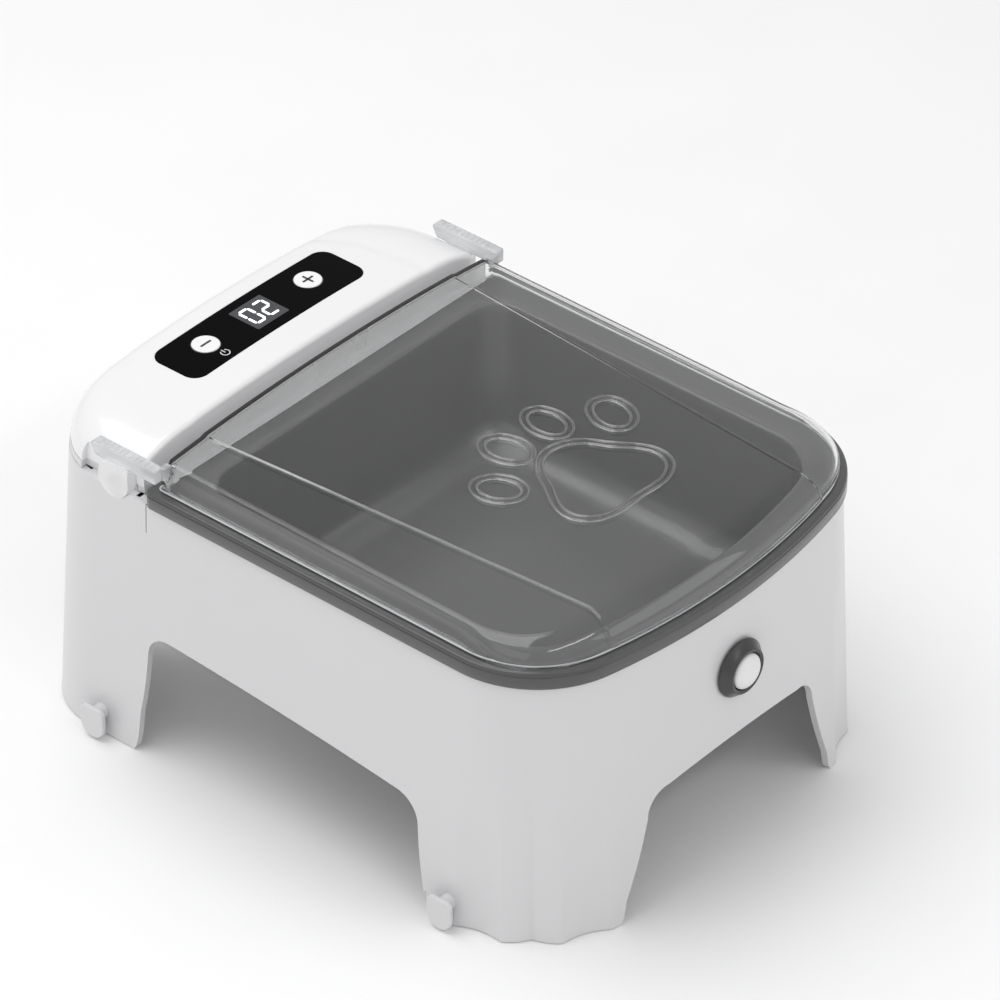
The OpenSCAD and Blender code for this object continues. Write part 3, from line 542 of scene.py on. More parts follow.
def stand_columns(s):
    """Columns of the outer wall, anticlockwise: (kind, place, lowest z, highest z)."""
    side = arch_curve(82, 75.5, s.arch_height - 1.5, 1, 0.08, (s.pivot_y + s.corner_y) / 2 + 1)
    front = arch_curve(67, 53.5, s.arch_height + 1.5, 4, 0, 0)
    slot = (s.rim_rear - 0.5, s.rim_rear + 0.1)
    notch_r = 8.9

    def top(y):
        if slot[0] <= y <= slot[1]:
            return s.rim_z - 14
        dy = abs(y - s.pivot_y)
        if dy < notch_r:
            return min(s.rim_z, s.pivot_z - math.sqrt(notch_r ** 2 - dy ** 2))
        return s.rim_z

    rear_start, front_end = s.rear_y - s.rear_r, s.corner_y
    ys = list(np.linspace(rear_start, front_end, 50)[1:-1]) + list(side[:, 0])
    ys += [slot[0] - 0.02, slot[0], slot[1], slot[1] + 0.02]
    ys += list(s.pivot_y + notch_r * np.sin(np.radians(np.linspace(-90, 90, 25))))
    ys = sorted(set(round(y, 3) for y in ys), reverse=True)
    cols = [("rear_left", a, 0, s.rim_z) for a in np.linspace(90, 180, 13)]
    cols += [("left", y, float(np.interp(y, side[:, 0], side[:, 1], 0, 0)), top(y)) for y in ys]
    cols += [("front_left", a, 0, s.rim_z) for a in np.linspace(180, s.corner_end, 97)]
    half = math.degrees(math.asin(62 * s.bow_r / (s.bow_r - s.corner_r) / s.bow_r))
    bow = [s.bow_r * math.sin(math.radians(a)) for a in np.linspace(-half, half, 50)[1:-1]]
    xs = sorted(set(round(x, 3) for x in list(front[:, 0]) + bow))
    cols += [("front", x, float(np.interp(x, front[:, 0], front[:, 1], 0, 0)), s.rim_z) for x in xs]
    cols += [("front_right", a, 0, s.rim_z) for a in np.linspace(s.corner_end, 180, 97)]
    cols += [("right", y, float(np.interp(y, side[:, 0], side[:, 1], 0, 0)), top(y)) for y in reversed(ys)]
    cols += [("rear_right", a, 0, s.rim_z) for a in np.linspace(180, 90, 13)]
    rear = [round(x, 3) for x in front[:, 0]] + [round(x, 3) for x in np.linspace(-71, 71, 34)]
    rear = sorted(set(rear), reverse=True)
    cols += [("rear", x, float(np.interp(x, front[:, 0], front[:, 1], 0, 0)), s.rim_z) for x in rear]
    return cols


def stand_point(s, kind, place, z):
    """Point of the stand's outer wall at a height."""
    lean = s.flare * (1 - z / s.rim_z)
    inset = s.shell_in - lean
    y_rear = s.rear_y + lean
    mirror = -1 if kind.endswith("right") or kind == "right" else 1
    if kind.startswith("rear_"):
        a = math.radians(place)
        r = s.rear_r
        return (mirror * (-(s.half_w - inset - r) + r * math.cos(a)), y_rear - r + r * math.sin(a), z)
    if kind in ("left", "right"):
        return (-mirror * (s.half_w - inset), place, z)
    if kind.startswith("front_"):
        a = math.radians(place)
        r = s.corner_r - inset - flute(s, place - 180, z)
        return (mirror * (-s.corner_x + r * math.cos(a)), s.corner_y + r * math.sin(a), z)
    if kind == "front":
        r = s.bow_r - inset
        return (place, s.bow_y - math.sqrt(r * r - place * place), z)
    return (place, y_rear, z)


def stand_box(m, name, low, high, edge=0.5):
    """A softened box of the stand's white moulding."""
    return box(name, low, high, m["stand"], "stand", edge)


def build_stand(context):
    """White stand: fluted, leaning walls on four legs, ledges, partition, pocket backs and leg hooks."""
    s, m = Sizes(context), palette(context)
    cols = stand_columns(s)
    rows = 44
    loops = []
    for k in range(rows + 1):
        t = (k / rows) ** 0.9
        loops.append([stand_point(s, kind, place, lo + (hi - lo) * t) for kind, place, lo, hi in cols])
    verts, faces = loft([np.array(loop) for loop in loops])
    wall = make("stand_wall", verts, faces, m["stand"], "stand", sharp=24)
    thicken(wall, s.wall)
    soften(wall, 0.9, 3, 60)
    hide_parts("stand_shell")
    # ledge under the module and behind the bowl
    inside = s.half_w - 3.4
    ledge = (s.rim_z - 2.5, s.rim_z - 0.05)
    stand_box(m, "stand_ledge", (-inside, s.lid_rear - 8, ledge[0]), (inside, s.module_front + 3, ledge[1]))
    for side in (-1, 1):
        a, b = sorted((side * (inside - 9), side * inside))
        stand_box(m, f"stand_ledge_side{side + 1}", (a, s.module_front, ledge[0]),
                  (b, s.rear_y - 30, ledge[1]))
        x = side * (s.pocket_x - 1.4)
        stand_box(m, f"pocket_back{side + 1}", (x - 1.4, s.pivot_y - 12, s.rim_z - 14),
                  (x + 1.4, s.pivot_y + 12, s.rim_z - 0.1), 0.3)
    across = inside - 34
    stand_box(m, "stand_ledge_rear", (-across, s.rear_y - 9, ledge[0]), (across, s.rear_y - 1, ledge[1]))
    across = inside - 0.4
    stand_box(m, "stand_partition", (-across, s.lid_rear - 6.5, 68),
              (across, s.lid_rear - 4.1, s.rim_z - 2.4))
    for y in (s.pivot_y + 8, s.corner_y + 3):
        for side in (-1, 1):
            hook(s, m, side, y)


def hook(s, m, side, y):
    """A small keyed hook that stands off a leg's foot on a round post."""
    w = 13.0
    plate = arc(y, 7, w / 2, 180, 360, 21)
    plate += [(y + w / 2, 14.0), (y + w / 2 - 1.8, 15.8), (y - w / 2 + 1.8, 15.8), (y - w / 2, 14.0)]
    low, high = sorted((side * (s.half_w + 8), side * (s.half_w + 10.4)))
    where = f"{'front' if y < 0 else 'rear'}{side + 1}"
    prism(f"leg_hook_{where}", plate, low, high, m["stand"], "stand", axis="X", edge=0.7)
    inner = s.half_w + 1
    post = [(0, 0), (4.6, 0), (4.0, side * 1.4), (3.5, side * 2.4), (3.5, side * 7.6), (0, side * 7.6)]
    turned(f"hook_post_{where}", post, (side * inner, y, 11), "X", m["stand"], "stand", 40)


# ---------------------------------------------------------------- bowl

def build_bowl(context):
    """Grey bowl: wide rim with a rounded edge, a seam line, and a deep inside with soft corners."""
    s, m = Sizes(context), palette(context)
    top, deep = s.rim_top, s.rim_top - s.bowl_depth
    # (distance inside the rim's edge, height): skirt, seam, round edge, rim, step, wall, floor edge
    rows = [(0.2, s.rim_z + 0.1), (0.0, s.rim_z + 0.4), (0.0, top - 2.4)]
    rows += [(0.35, top - 2.0), (0.35, top - 1.8), (0.05, top - 1.4)]
    rows += arc(1.25, top - 1.2, 1.2, 180, 90, 6)
    rows += [(3.2, top), (4.0, top), (14.0, top), (16.4, top), (17.2, top + 0.3), (17.9, top + 0.3)]
    rows += arc(18.2, top - 1.3, 1.6, 100, 20, 5)
    rows += [(20.4, top - 4), (23.0, top - 16), (26.5, top - 30), (29.5, deep + 18)]
    rows += arc(45, deep + 15, 15, 190, 270, 8)
    loops = []
    for inset, z in rows:
        inner = np.clip((inset - 3) / 15.0, 0, 1)
        corner = 4 + 8 * inner + max(0, inset - 18) * 0.6
        rear = s.rim_rear - inset * 16.0 / 18.5 if inset < 18.5 else s.rim_rear - inset + 2.5
        loops.append(level(outline(s, inset, rear, corner), z))
    last = loops[-1]
    centre = last.mean(axis=0)
    for t in (0.8, 0.5, 0.2, 0.02):
        loops.append(centre + (last - centre) * t)
    verts, faces = loft(loops, False, True)
    bowl = make("bowl_shell", verts, faces, m["bowl"], "stand", sharp=40)
    thicken(bowl, 2.2)
    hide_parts("bowl")


# ---------------------------------------------------------------- lid

def ruled(rear, front, rows, height):
    """A grid of straight lines from a rear chain to a front chain, lifted to a height."""
    rear, front = np.array(rear, float), np.array(front, float)
    grid = []
    for v in rows:
        line = rear + (front - rear) * v
        grid.append([(x, y, height(x, y, i, v)) for i, (x, y) in enumerate(line)])
    return np.array(grid)


def cap(grid, rings):
    """Vertices and faces of a grid with closed rings round it. Each ring is a function of the border."""
    rows, cols = grid.shape[:2]
    verts = [tuple(p) for row in grid for p in row]
    faces = [(r * cols + c, (r + 1) * cols + c, (r + 1) * cols + c + 1, r * cols + c + 1)
             for r in range(rows - 1) for c in range(cols - 1)]
    border = [r * cols for r in range(rows)]
    border += [(rows - 1) * cols + c for c in range(1, cols)]
    border += [r * cols + cols - 1 for r in range(rows - 2, -1, -1)]
    border += [c for c in range(cols - 2, 0, -1)]
    base = np.array([verts[i] for i in border])
    before = border
    for ring in rings:
        loop = ring(base)
        start = len(verts)
        verts += [tuple(p) for p in loop]
        now = list(range(start, start + len(loop)))
        n = len(now)
        faces += [(before[i], now[i], now[(i + 1) % n], before[(i + 1) % n]) for i in range(n)]
        before = now
    return verts, faces


def lid_height(s):
    """Height of the lid's top: the crown, a raised middle between the creases, a slight fall to the front."""
    def height(x, y, v):
        crease = s.crease_rear + (s.crease_front - s.crease_rear) * v
        over = max(0.0, abs(x) - crease)
        fall = 1.4 * np.clip((s.lid_rear - y) / 217.0, 0, 1) ** 1.3
        raised = s.crease_step * np.clip(1 - over / s.crease_w, 0, 1)
        return s.crown(x) - 0.55 + raised - fall - 0.012 * over
    return height


def build_lid(context):
    """Clear lid: crowned top with two creases, rolled front, leaning walls, embossed paw and two arms."""
    s, m = Sizes(context), palette(context)
    rear_y = s.lid_rear
    h = lid_height(s)
    roll_front, roll_side, lean = 14.0, 5.0, 3.0
    half = s.half_w - 4.5 - lean - roll_side
    # front chain of the inner border: corner, bow, corner; the roll grows from the sides to the front
    chain = []
    for a in np.linspace(180, s.corner_end, 30):
        t = (a - 180) / (s.corner_end - 180)
        t = t * t * (3 - 2 * t)
        inset = 4.5 + (lean + roll_side) * (1 - t) + roll_front * t
        r = s.corner_r - inset
        turn = math.radians(a)
        chain.append((-s.corner_x + r * math.cos(turn), s.corner_y + r * math.sin(turn)))
    r = s.bow_r - 4.5 - roll_front
    for a in np.radians(np.linspace(s.corner_end, 270, 24)[1:]):
        chain.append((r * math.cos(a), s.bow_y + r * math.sin(a)))
    left = [p for p in chain if p[0] < -0.01] + [(0.0, s.bow_y - r)]
    # crease columns sit exactly on the chain
    crease_x = -s.crease_front
    extra = []
    for x in (crease_x, crease_x - s.crease_w):
        y = float(np.interp(x, [p[0] for p in left], [p[1] for p in left]))
        extra.append((x, y))
    left = np.array(sorted(left + extra))
    front = np.vstack([left, [(-x, y) for x, y in left[::-1][1:]]])
    share = np.interp(left[:, 0], [left[0, 0], crease_x - s.crease_w, crease_x, 0], [0, 1, 2, 3])
    rear_left = np.interp(share, [0, 1, 2, 3], [-half, -s.crease_rear - s.crease_w, -s.crease_rear, 0])
    rear_line = rear_y - roll_side * 0.4
    rear = [(x, rear_line) for x in rear_left] + [(-x, rear_line) for x in rear_left[::-1][1:]]
    rows = np.linspace(0, 1, 60)
    grid = ruled(rear, front, rows, lambda x, y, i, v: h(x, y, v))

    def ring(part):
        """A ring of the rolled edge and the wall: part 0 to 1 is the roll, 1 to 2 the wall."""
        def make_ring(base):
            n = outward(base[:, :2])
            out = []
            for (x, y, z), (nx, ny) in zip(base, n):
                if y > rear_line - 1e-6 and abs(x) < half - 1e-6:
                    roll, inset, nx, ny = 1.6, 0.0, 0.0, 1.0
                else:
                    t = np.clip((s.corner_y + 6 - y) / 34.0, 0, 1)
                    t = t * t * (3 - 2 * t)
                    roll, inset = roll_side + (roll_front - roll_side) * t, lean * (1 - t)
                    if y > rear_line - 1e-6:
                        nx, ny, roll, inset = (math.copysign(0.9, x), 0.44, 4.0, lean)
                mid = 0.0
                if y < s.corner_y:
                    mid = s.crease_step * np.clip(1 - (abs(x) - s.crease_front) / s.crease_w, 0, 1)
                drop = min(roll, z - s.lid_z - 0.4)
                if part <= 1:
                    a = part * math.pi / 2
                    reach = (roll + mid) * math.sin(a)
                    out.append((x + nx * reach, y + ny * reach, z - drop * (1 - math.cos(a))))
                else:
                    w = part - 1
                    reach = roll + mid * (1 - w) + inset * w
                    z1 = (z - drop) * (1 - w) + s.lid_z * w
                    out.append((x + nx * reach, min(y + ny * reach, rear_y), z1))
            return np.array(out)
        return make_ring

    rings = [ring(k / 7) for k in range(1, 8)] + [ring(1.5), ring(2.0)]
    verts, faces = cap(grid, rings)
    lid = make("lid_shell", verts, faces, m["lid"], "lid", sharp=30)
    thicken(lid, s.lid_thickness)
    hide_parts("lid")
    # A near-black strip along the lid's rear edge: painted shade for the dark line between lid and module
    edge = []
    for x in np.linspace(-half - 3, half + 3, 80):
        z = h(x, rear_y, 0.0) - 0.35 - 3.0 * max(0.0, (abs(x) - half) / 3.0) ** 2
        edge.append((x, z))
    loops = [[(x, rear_y + dy, z + dz) for x, z in edge]
             for dy, dz in ((-1.5, 0.5), (0.15, 0.4), (0.15, -1.2), (-1.5, -1.0))]
    verts, faces = loft([np.array(loop) for loop in loops], ring=False)
    n = len(edge)
    faces += [(3 * n + i, 3 * n + i + 1, i + 1, i) for i in range(n - 1)]
    faces += [(0, n, 2 * n, 3 * n), (n - 1, 4 * n - 1, 3 * n - 1, 2 * n - 1)]
    make("lid_rear_shade_strip", verts, faces, m["edge"], "lid", sharp=40)
    # A light grey ring round the lid's base on the dark rim: painted highlight for the bright line along the
    # lid's bottom edge
    base = outline(s, 4.35, rear_y + 0.15, 2.0, 24)
    lip = ring_curve("lid_lip", [tuple(p) for p in base], lambda x, y: s.lid_z + 0.42, 0.42, m["lip"])
    paw(m, h)
    rear_wall(s, m, h, half)
    for side in (-1, 1):
        arm(s, m, side)


def rear_wall(s, m, h, half):
    """Whitish half-clear rear wall of the lid, from its rear edge down to the rim: painted light that
    brightens the strip in front of the module.
    """
    xs = np.linspace(-half, half, 60)
    y = s.lid_rear - 0.8
    loops = [[(x, y + dy, s.lid_z + 0.3 if low else h(x, y, 0.0) - 1.4) for x in xs]
             for dy, low in ((0.7, True), (-0.7, True), (-0.7, False), (0.7, False))]
    loops.append(loops[0])
    verts, faces = loft([np.array(loop) for loop in loops], ring=False)
    n = len(xs)
    faces += [(0, n, 2 * n, 3 * n), (n - 1, 4 * n - 1, 3 * n - 1, 2 * n - 1)]
    make("lid_rear_wall", verts, faces, m["haze"], "lid", sharp=40)


def ring_curve(name, points, z_of, radius, material):
    """A closed raised line on the lid."""
    curve = bpy.data.curves.new(name, "CURVE")
    curve.dimensions = "3D"
    curve.bevel_depth = radius * MM
    curve.bevel_resolution = 3
    curve.use_fill_caps = True
    line = curve.splines.new("POLY")
    line.points.add(len(points) - 1)
    for p, (x, y) in zip(line.points, points):
        p.co = (x * MM, y * MM, z_of(x, y) * MM, 1)
    line.use_cyclic_u = True
    temp = bpy.data.objects.new(name + "_line", curve)
    bpy.context.scene.collection.objects.link(temp)
    graph = bpy.context.evaluated_depsgraph_get()
    mesh = bpy.data.meshes.new_from_object(temp.evaluated_get(graph))
    bpy.data.objects.remove(temp)
    mesh.name = name
    mesh.shade_smooth()
    obj = bpy.data.objects.new(name, mesh)
    bpy.context.scene.collection.objects.link(obj)
    mesh.materials.clear()
    mesh.materials.append(material)
    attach(obj, "lid")
    return obj


def paw(m, h):
    """A generic paw in raised double lines on the lid: four toes and a three-lobed pad."""
    def z_of(x, y):
        return h(x, y, 0.5) - 0.15

    # each toe: middle, half width, half length, turn
    toes = [(-29, -41.6, 9.5, 12.5, 24), (-6.5, -26.1, 9.5, 13, 8),
            (19, -26.1, 9.5, 13, -8), (42.5, -41.6, 10.3, 13.3, -24)]
    angles = np.linspace(0, 2 * math.pi, 64, endpoint=False)
    for k, (cx, cy, a, b, turn) in enumerate(toes):
        c, d = math.cos(math.radians(turn)), math.sin(math.radians(turn))
        for j, grow in enumerate((0.0, -3.0)):
            pts = [(cx + (a + grow) * math.cos(t) * c - (b + grow) * math.sin(t) * d,
                    cy + (a + grow) * math.cos(t) * d + (b + grow) * math.sin(t) * c) for t in angles]
            ring_curve(f"paw_toe{k}_line{j}", pts, z_of, 0.75, m["ring"])
    for j, grow in enumerate((0.0, -3.0)):
        pts = []
        for t in np.linspace(0, 2 * math.pi, 120, endpoint=False):
            r = 26.5 + grow + 3.6 * math.cos(3 * (t - math.pi / 2))
            pts.append((5 + 1.1 * r * math.cos(t), -67 + 0.97 * r * math.sin(t)))
        ring_curve(f"paw_pad_line{j}", pts, z_of, 0.75, m["ring"])


def arm(s, m, side):
    """A clear arm: from the lid's rear corner over the pocket to the round ear on the pivot."""
    top, h = s.arm_top, 6.5
    ear = 8.6
    plan = [(s.lid_rear - 2, top - h), (s.lid_rear - 2, top)]
    plan += [(s.arm_end - 1.2, top), (s.arm_end, top - 1.2)]
    plan += [(s.arm_end - 2.4, top - h + 0.5), (s.arm_end - 3.0, top - h)]
    low, high = sorted((side * s.arm_x, side * (s.half_w - 0.2)))
    ear_plan = [(s.pivot_y + 4.4, top - h + 0.4), (s.pivot_y + 4.4, s.pivot_z + 7.4)]
    ear_plan += arc(s.pivot_y, s.pivot_z, ear, 56, -180, 30)
    ear_plan += [(s.pivot_y - ear, top - h + 0.4)]
    for name, shape, look in (("lid_ear", ear_plan, "ear"), ("lid_arm", plan, "arm")):
        prism(f"{name}{side + 1}", shape[::-1], low, high, m[look], "lid", "X", 0.6, 2)
    # beads along the arm's upper face
    x, y = side * (s.arm_x + 2.75), s.lid_rear + 2.0
    k = 0
    while y < s.arm_end - 2.5:
        size = 1.5 + 0.5 * math.sin(2.1 * k)
        box(f"arm_bead{side + 1}_{k}", (x - 2.2, y, top - 0.3), (x + 2.2, y + size, top + 0.45),
            m["ring"], "lid", 0.3)
        y += size + 1.3
        k += 1
    root = sorted((side * (s.arm_x - 4), side * (s.arm_x + 1)))
    box(f"arm_root{side + 1}", (root[0], s.lid_rear - 3, top - h), (root[1], s.lid_rear + 0.3, top - 0.6),
        m["arm"], "lid", 0.5)


# ---------------------------------------------------------------- module

def build_module(context):
    """White control module: crowned top with two creases, round shoulders, and a pocket for each arm."""
    s, m = Sizes(context), palette(context)
    low = s.rim_z + 3.7
    front, rear = s.module_front, s.module_rear
    r_front, r_edge = 2.6, 7.0
    half = s.half_w - 2.0
    shoulder = s.rim_z + 6.0

    def section(x, y):
        """Height of the top: crown, then a shoulder that starts at the crease and drops to the side."""
        crease = 72 - 6 * np.clip((y - front) / (rear - front), 0, 1)
        if abs(x) <= crease:
            return s.crown(x)
        t = min(1.0, (abs(x) - crease) / (half - crease))
        start = s.crown(crease)
        groove = 0.7 * min(1.0, t * 22) * (1 - t)
        return shoulder + (start - shoulder) * max(0.0, 1 - t ** 2.3) ** 0.5 - groove

    # stations across: even on the crown, closer towards the shoulder's vertical side
    us = list(np.linspace(-66, 66, 45))
    tail = [66 + (half - 66) * math.sin(math.radians(a)) for a in np.linspace(0, 90, 28)[1:]]
    xs = np.array([-x for x in reversed(tail)] + us + tail)
    rounding = [(front + r_front - r_front * math.cos(a), r_front * (1 - math.sin(a)))
                for a in np.radians(np.linspace(0, 90, 8))]
    back = [(rear - r_edge + r_edge * math.sin(a), r_edge * (1 - math.cos(a)))
            for a in np.radians(np.linspace(0, 90, 10))]
    mids = [(y, 0.0) for y in np.linspace(front + r_front, rear - r_edge, 14)[1:-1]]
    lines = [(front, None)] + rounding + mids + back + [(rear, None)]
    corner = 34.0
    loops = []
    for y, drop in lines:
        row = []
        for x in xs:
            # the rear corners are round in plan: pull the sides in towards the rear
            over = max(0.0, y - (rear - corner))
            pull = corner - math.sqrt(max(0.0, corner ** 2 - over ** 2))
            xx = x * (half - pull) / half
            if drop is None:
                z = low
            else:
                full = section(x, y)
                z = max(low, full - drop * min(1.0, (full - low) / r_edge))
            row.append((xx, y, z))
        loops.append(np.array(row))
    verts, faces = loft(loops, ring=False)
    n, k = len(xs), len(lines)
    # walls below the shoulders and a flat underside
    start = len(verts)
    left = [(verts[i * n][0], verts[i * n][1], low) for i in range(k)]
    right = [(verts[i * n + n - 1][0], verts[i * n + n - 1][1], low) for i in range(k)]
    verts += left + right
    for i in range(k - 1):
        faces.append((i * n, (i + 1) * n, start + i + 1, start + i))
        faces.append((i * n + n - 1, start + k + i, start + k + i + 1, (i + 1) * n + n - 1))
    faces.append(tuple([start + i for i in range(k)] + [start + k + i for i in reversed(range(k))]))
    body = make("module_cover", verts, faces, m["cover"], "stand", sharp=30)
    cutters = []
    for side in (-1, 1):
        # the rear end of the arm swings down inside this circle about the pivot
        shape = [(s.pivot_y + 13.2, s.rim_z - 5)] + arc(s.pivot_y, s.pivot_z, 20.3, -14, 60, 16)
        shape += [(front - 5, s.arm_top + 3), (front - 5, s.rim_z - 5)]
        a, b = sorted((side * s.pocket_x, side * (s.half_w + 4)))
        cutters.append(prism(f"cutter{side + 1}", shape, a, b, None, None, axis="X"))
    cut(body, *cutters, *key_cutters(s))
    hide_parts("control_cover")
    # band under the module, a little proud of it
    centre_y = rear + 0.3 - corner
    first = 180 - math.degrees(math.asin((s.pivot_y + 20.5 - centre_y) / corner))
    plan = [(-half - 0.35 + corner + corner * math.cos(a), centre_y + corner * math.sin(a))
            for a in np.radians(np.linspace(first, 90, 16))]
    plan += [(-x, y) for x, y in reversed(plan)]
    inner = [(x * (half - 6) / half, y - 6 if y > s.pivot_y + 21 else y) for x, y in plan]
    prism("module_band", plan + inner[::-1], s.rim_z + 0.15, low - 0.35, m["stand"], "stand",
          edge=0.35)
    for side in (-1, 1):
        a, b = sorted((side * (s.pocket_x - 1.6), side * (s.pocket_x - 0.1)))
        stand_box(m, f"pocket_curb{side + 1}", (a, front + 4.2, s.rim_z - 0.02),
                  (b, s.pivot_y + 22, low - 0.05), 0.2)
    across = s.pocket_x - 0.3
    stand_box(m, "module_front_band", (-across, front + 0.1, s.rim_z + 0.15),
              (across, front + 4.0, low - 0.05), 0.4)


# ---------------------------------------------------------------- panel

def crown_plate(s, name, plan, low, high, material, body, edge=0.25):
    """A flat shape laid on the crown: its top and bottom follow the crown's height."""
    plan = np.array(plan, float)
    centre = plan.mean(axis=0)
    loops = [[(x, y, s.crown(x) + low) for x, y in plan], [(x, y, s.crown(x) + high - edge) for x, y in plan]]
    n = outward(plan)
    inner = plan - n * edge
    loops.append([(x, y, s.crown(x) + high) for x, y in inner])
    for t in (0.96, 0.8, 0.6, 0.4, 0.2, 0.02):
        loops.append([(x, y, s.crown(x) + high) for x, y in centre * (1 - t) + inner * t])
    verts, faces = loft([np.array(loop) for loop in loops], True, True)
    return make(name, verts, faces, material, body, sharp=40)


def key_cutters(s):
    """Round shapes that cut the wells of the two keys."""
    r = s.key_diameter / 2 + 0.35
    a = np.radians(np.linspace(0, 360, 72, endpoint=False))
    cutters = []
    for k, x in enumerate((-s.key_x, s.key_x)):
        plan = np.column_stack([x + r * np.cos(a), s.key_y + r * np.sin(a)])
        cutters.append(prism(f"key_cutter{k}", plan, s.crown(x) - 3, s.crown(x) + 4, None, None))
    return cutters


def segment(m, name, x, y, w, l, z):
    """One bar of a digit with pointed ends."""
    long, thick = max(w, l) / 2, min(w, l) / 2
    half = [(-long, 0), (-long + thick, -thick), (long - thick, -thick)]
    p = half + [(-a, -b) for a, b in half]
    if w <= l:
        p = [(-b, a) for a, b in p]
    prism(name, [(x + a, y + b) for a, b in p], z, z + 0.12, m["lit"], "stand")


def build_panel(context):
    """Black panel with its smoked window, lit digits, two keys and a printed mark."""
    s, m = Sizes(context), palette(context)
    plan = rounded_rect(s.panel_width, s.panel_length, 7.0, 12) + np.array((0.6, s.panel_y))
    panel = crown_plate(s, "panel_plate", plan, -0.5, 0.35, m["panel"], "stand", 0.35)
    cut(panel, *key_cutters(s))
    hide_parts("display_panel")
    view = rounded_rect(19.4, 17.6, 0.6, 4) + np.array((0, s.panel_y))
    window = crown_plate(s, "window_plate", view, 0.2, 0.42, m["window"], "stand", 0.05)
    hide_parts("display_window")
    z = s.crown_top + 0.44
    bars = {0: (0, 1), 1: (1, 0.5), 2: (1, -0.5), 3: (0, -1), 4: (-1, -0.5), 5: (-1, 0.5), 6: (0, 0)}
    w, h, t = 5.3, 5.5, 1.2
    for k, (x, lit_bars) in enumerate(((-4.2, (0, 1, 2, 3, 4, 5)), (4.2, (0, 1, 6, 4, 3)))):
        for b in lit_bars:
            bx, by = bars[b]
            wide = b % 3 == 0
            segment(m, f"digit{k}_bar{b}", x + bx * w / 2, s.panel_y + by * h, (w - 0.5) if wide else t,
                    t if wide else h - 0.5, z)
    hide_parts("display_digits")
    r = s.key_diameter / 2
    for name, x, node in (("minus", -s.key_x, "minus_key"), ("plus", s.key_x, "plus_key")):
        y = s.key_y
        base = s.crown(x) + 0.05
        edge = [(r - 0.5 + 0.5 * math.cos(a), 0.35 + 0.4 * math.sin(a))
                for a in np.radians(np.linspace(15, 90, 5))]
        profile = [(0.01, -1.5), (r, -1.5), (r, 0.35)] + edge
        profile += [(r * 0.6, 0.72), (r * 0.3, 0.7), (0.01, 0.7)]
        key = turned(f"{name}_disc", profile, (x, y, base), "Z", m["key"], node, 72)
        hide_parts(node)
        mark = [(-3.1, -0.5), (3.1, -0.5), (3.1, 0.5), (-3.1, 0.5)]
        bar = [(x + a, y + b) for a, b in mark]
        prism(f"{name}_bar", bar, base + 0.62, base + 0.82, m["mark"], node)
        if name == "plus":
            upright = [(x - b, y + a) for a, b in mark]
            prism("plus_upright", upright, base + 0.62, base + 0.82, m["mark"], node)
        groove = [(r + 0.05, 0.28), (r + 0.05, 0.36), (r + 0.35, 0.38), (r + 0.4, 0.3)]
        turned(f"{name}_groove", groove, (x, y, s.crown(x)), "Z", m["gap"], "stand", 72)
    standby_mark(s, m)


def standby_mark(s, m):
    """A generic standby sign printed below the minus key: an open ring and an upright bar."""
    cx, cy, r = -31.0, s.panel_y - 9.3, 2.0
    z = s.crown(cx) + 0.36
    pts = [(cx + (r + w) * math.cos(a), cy + (r + w) * math.sin(a)) for w, turns in
           ((0.22, np.linspace(125, 415, 24)), (-0.22, np.linspace(415, 125, 24))) for a in np.radians(turns)]
    prism("standby_ring", pts, z, z + 0.06, m["print"], "stand")
    tall = cy + r + 0.5
    bar = [(cx - 0.22, cy), (cx + 0.22, cy), (cx + 0.22, tall), (cx - 0.22, tall)]
    prism("standby_bar", bar, z, z + 0.06, m["print"], "stand")


# ---------------------------------------------------------------- sensor

def build_sensor(context):
    """Presence sensor on the front wall: a dark chamfered ring round a white dome."""
    s, m = Sizes(context), palette(context)
    r, d = s.bezel_diameter / 2, s.dome_diameter / 2
    y = s.lens_y - 1.0
    ring = [(r - 2.4, 0.5), (r, 0.4)] + [(r - 0.5 + 0.5 * math.cos(a), -0.3 - 0.5 * math.sin(a))
                                        for a in np.radians(np.linspace(0, 60, 4))]
    ring += [(r - 2.8, -3.9)] + [(r - 3.4 + 0.6 * math.sin(a), -3.9 - 0.6 * math.cos(a))
                                 for a in np.radians(np.linspace(60, -30, 5))]
    ring += [(d + 0.9, -4.2), (d + 0.5, -3.6), (d + 0.45, -0.5)]
    bezel = turned("sensor_ring", ring, (0, y, s.sensor_z), "Y", m["bezel"], "stand")
    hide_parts("sensor_bezel")
    dome = [(d, 0), (d, -3.4)]
    dome += [(d * math.sin(a), -3.4 - 3.9 * math.cos(a)) for a in np.radians(np.linspace(84, 0, 18))]
    lens = turned("sensor_dome", dome, (0, y, s.sensor_z), "Y", m["dome"], "stand")
    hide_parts("sensor_lens")


# ---------------------------------------------------------------- hidden pieces

SLOT_LOOKS = {
    "white_shell": ((0.76, 0.76, 0.77), 0.35, 0.0),
    "grey_bowl": ((0.15, 0.15, 0.155), 0.35, 0.0),
    "black_panel": ((0.02, 0.02, 0.022), 0.35, 0.0),
    "steel": ((0.62, 0.62, 0.63), 0.32, 1.0),
    "brass": ((0.76, 0.58, 0.27), 0.35, 1.0),
    "circuit_board": ((0.02, 0.16, 0.06), 0.4, 0.0),
    "natural_plastic": ((0.82, 0.8, 0.72), 0.45, 0.0),
    "cell_wrap": ((0.05, 0.16, 0.5), 0.35, 0.0),
    "ribbon": ((0.3, 0.31, 0.32), 0.5, 0.0),
    "white_key": ((0.82, 0.82, 0.82), 0.35, 0.0),
    "smoked_window": ((0.05, 0.05, 0.055), 0.1, 0.0),
}


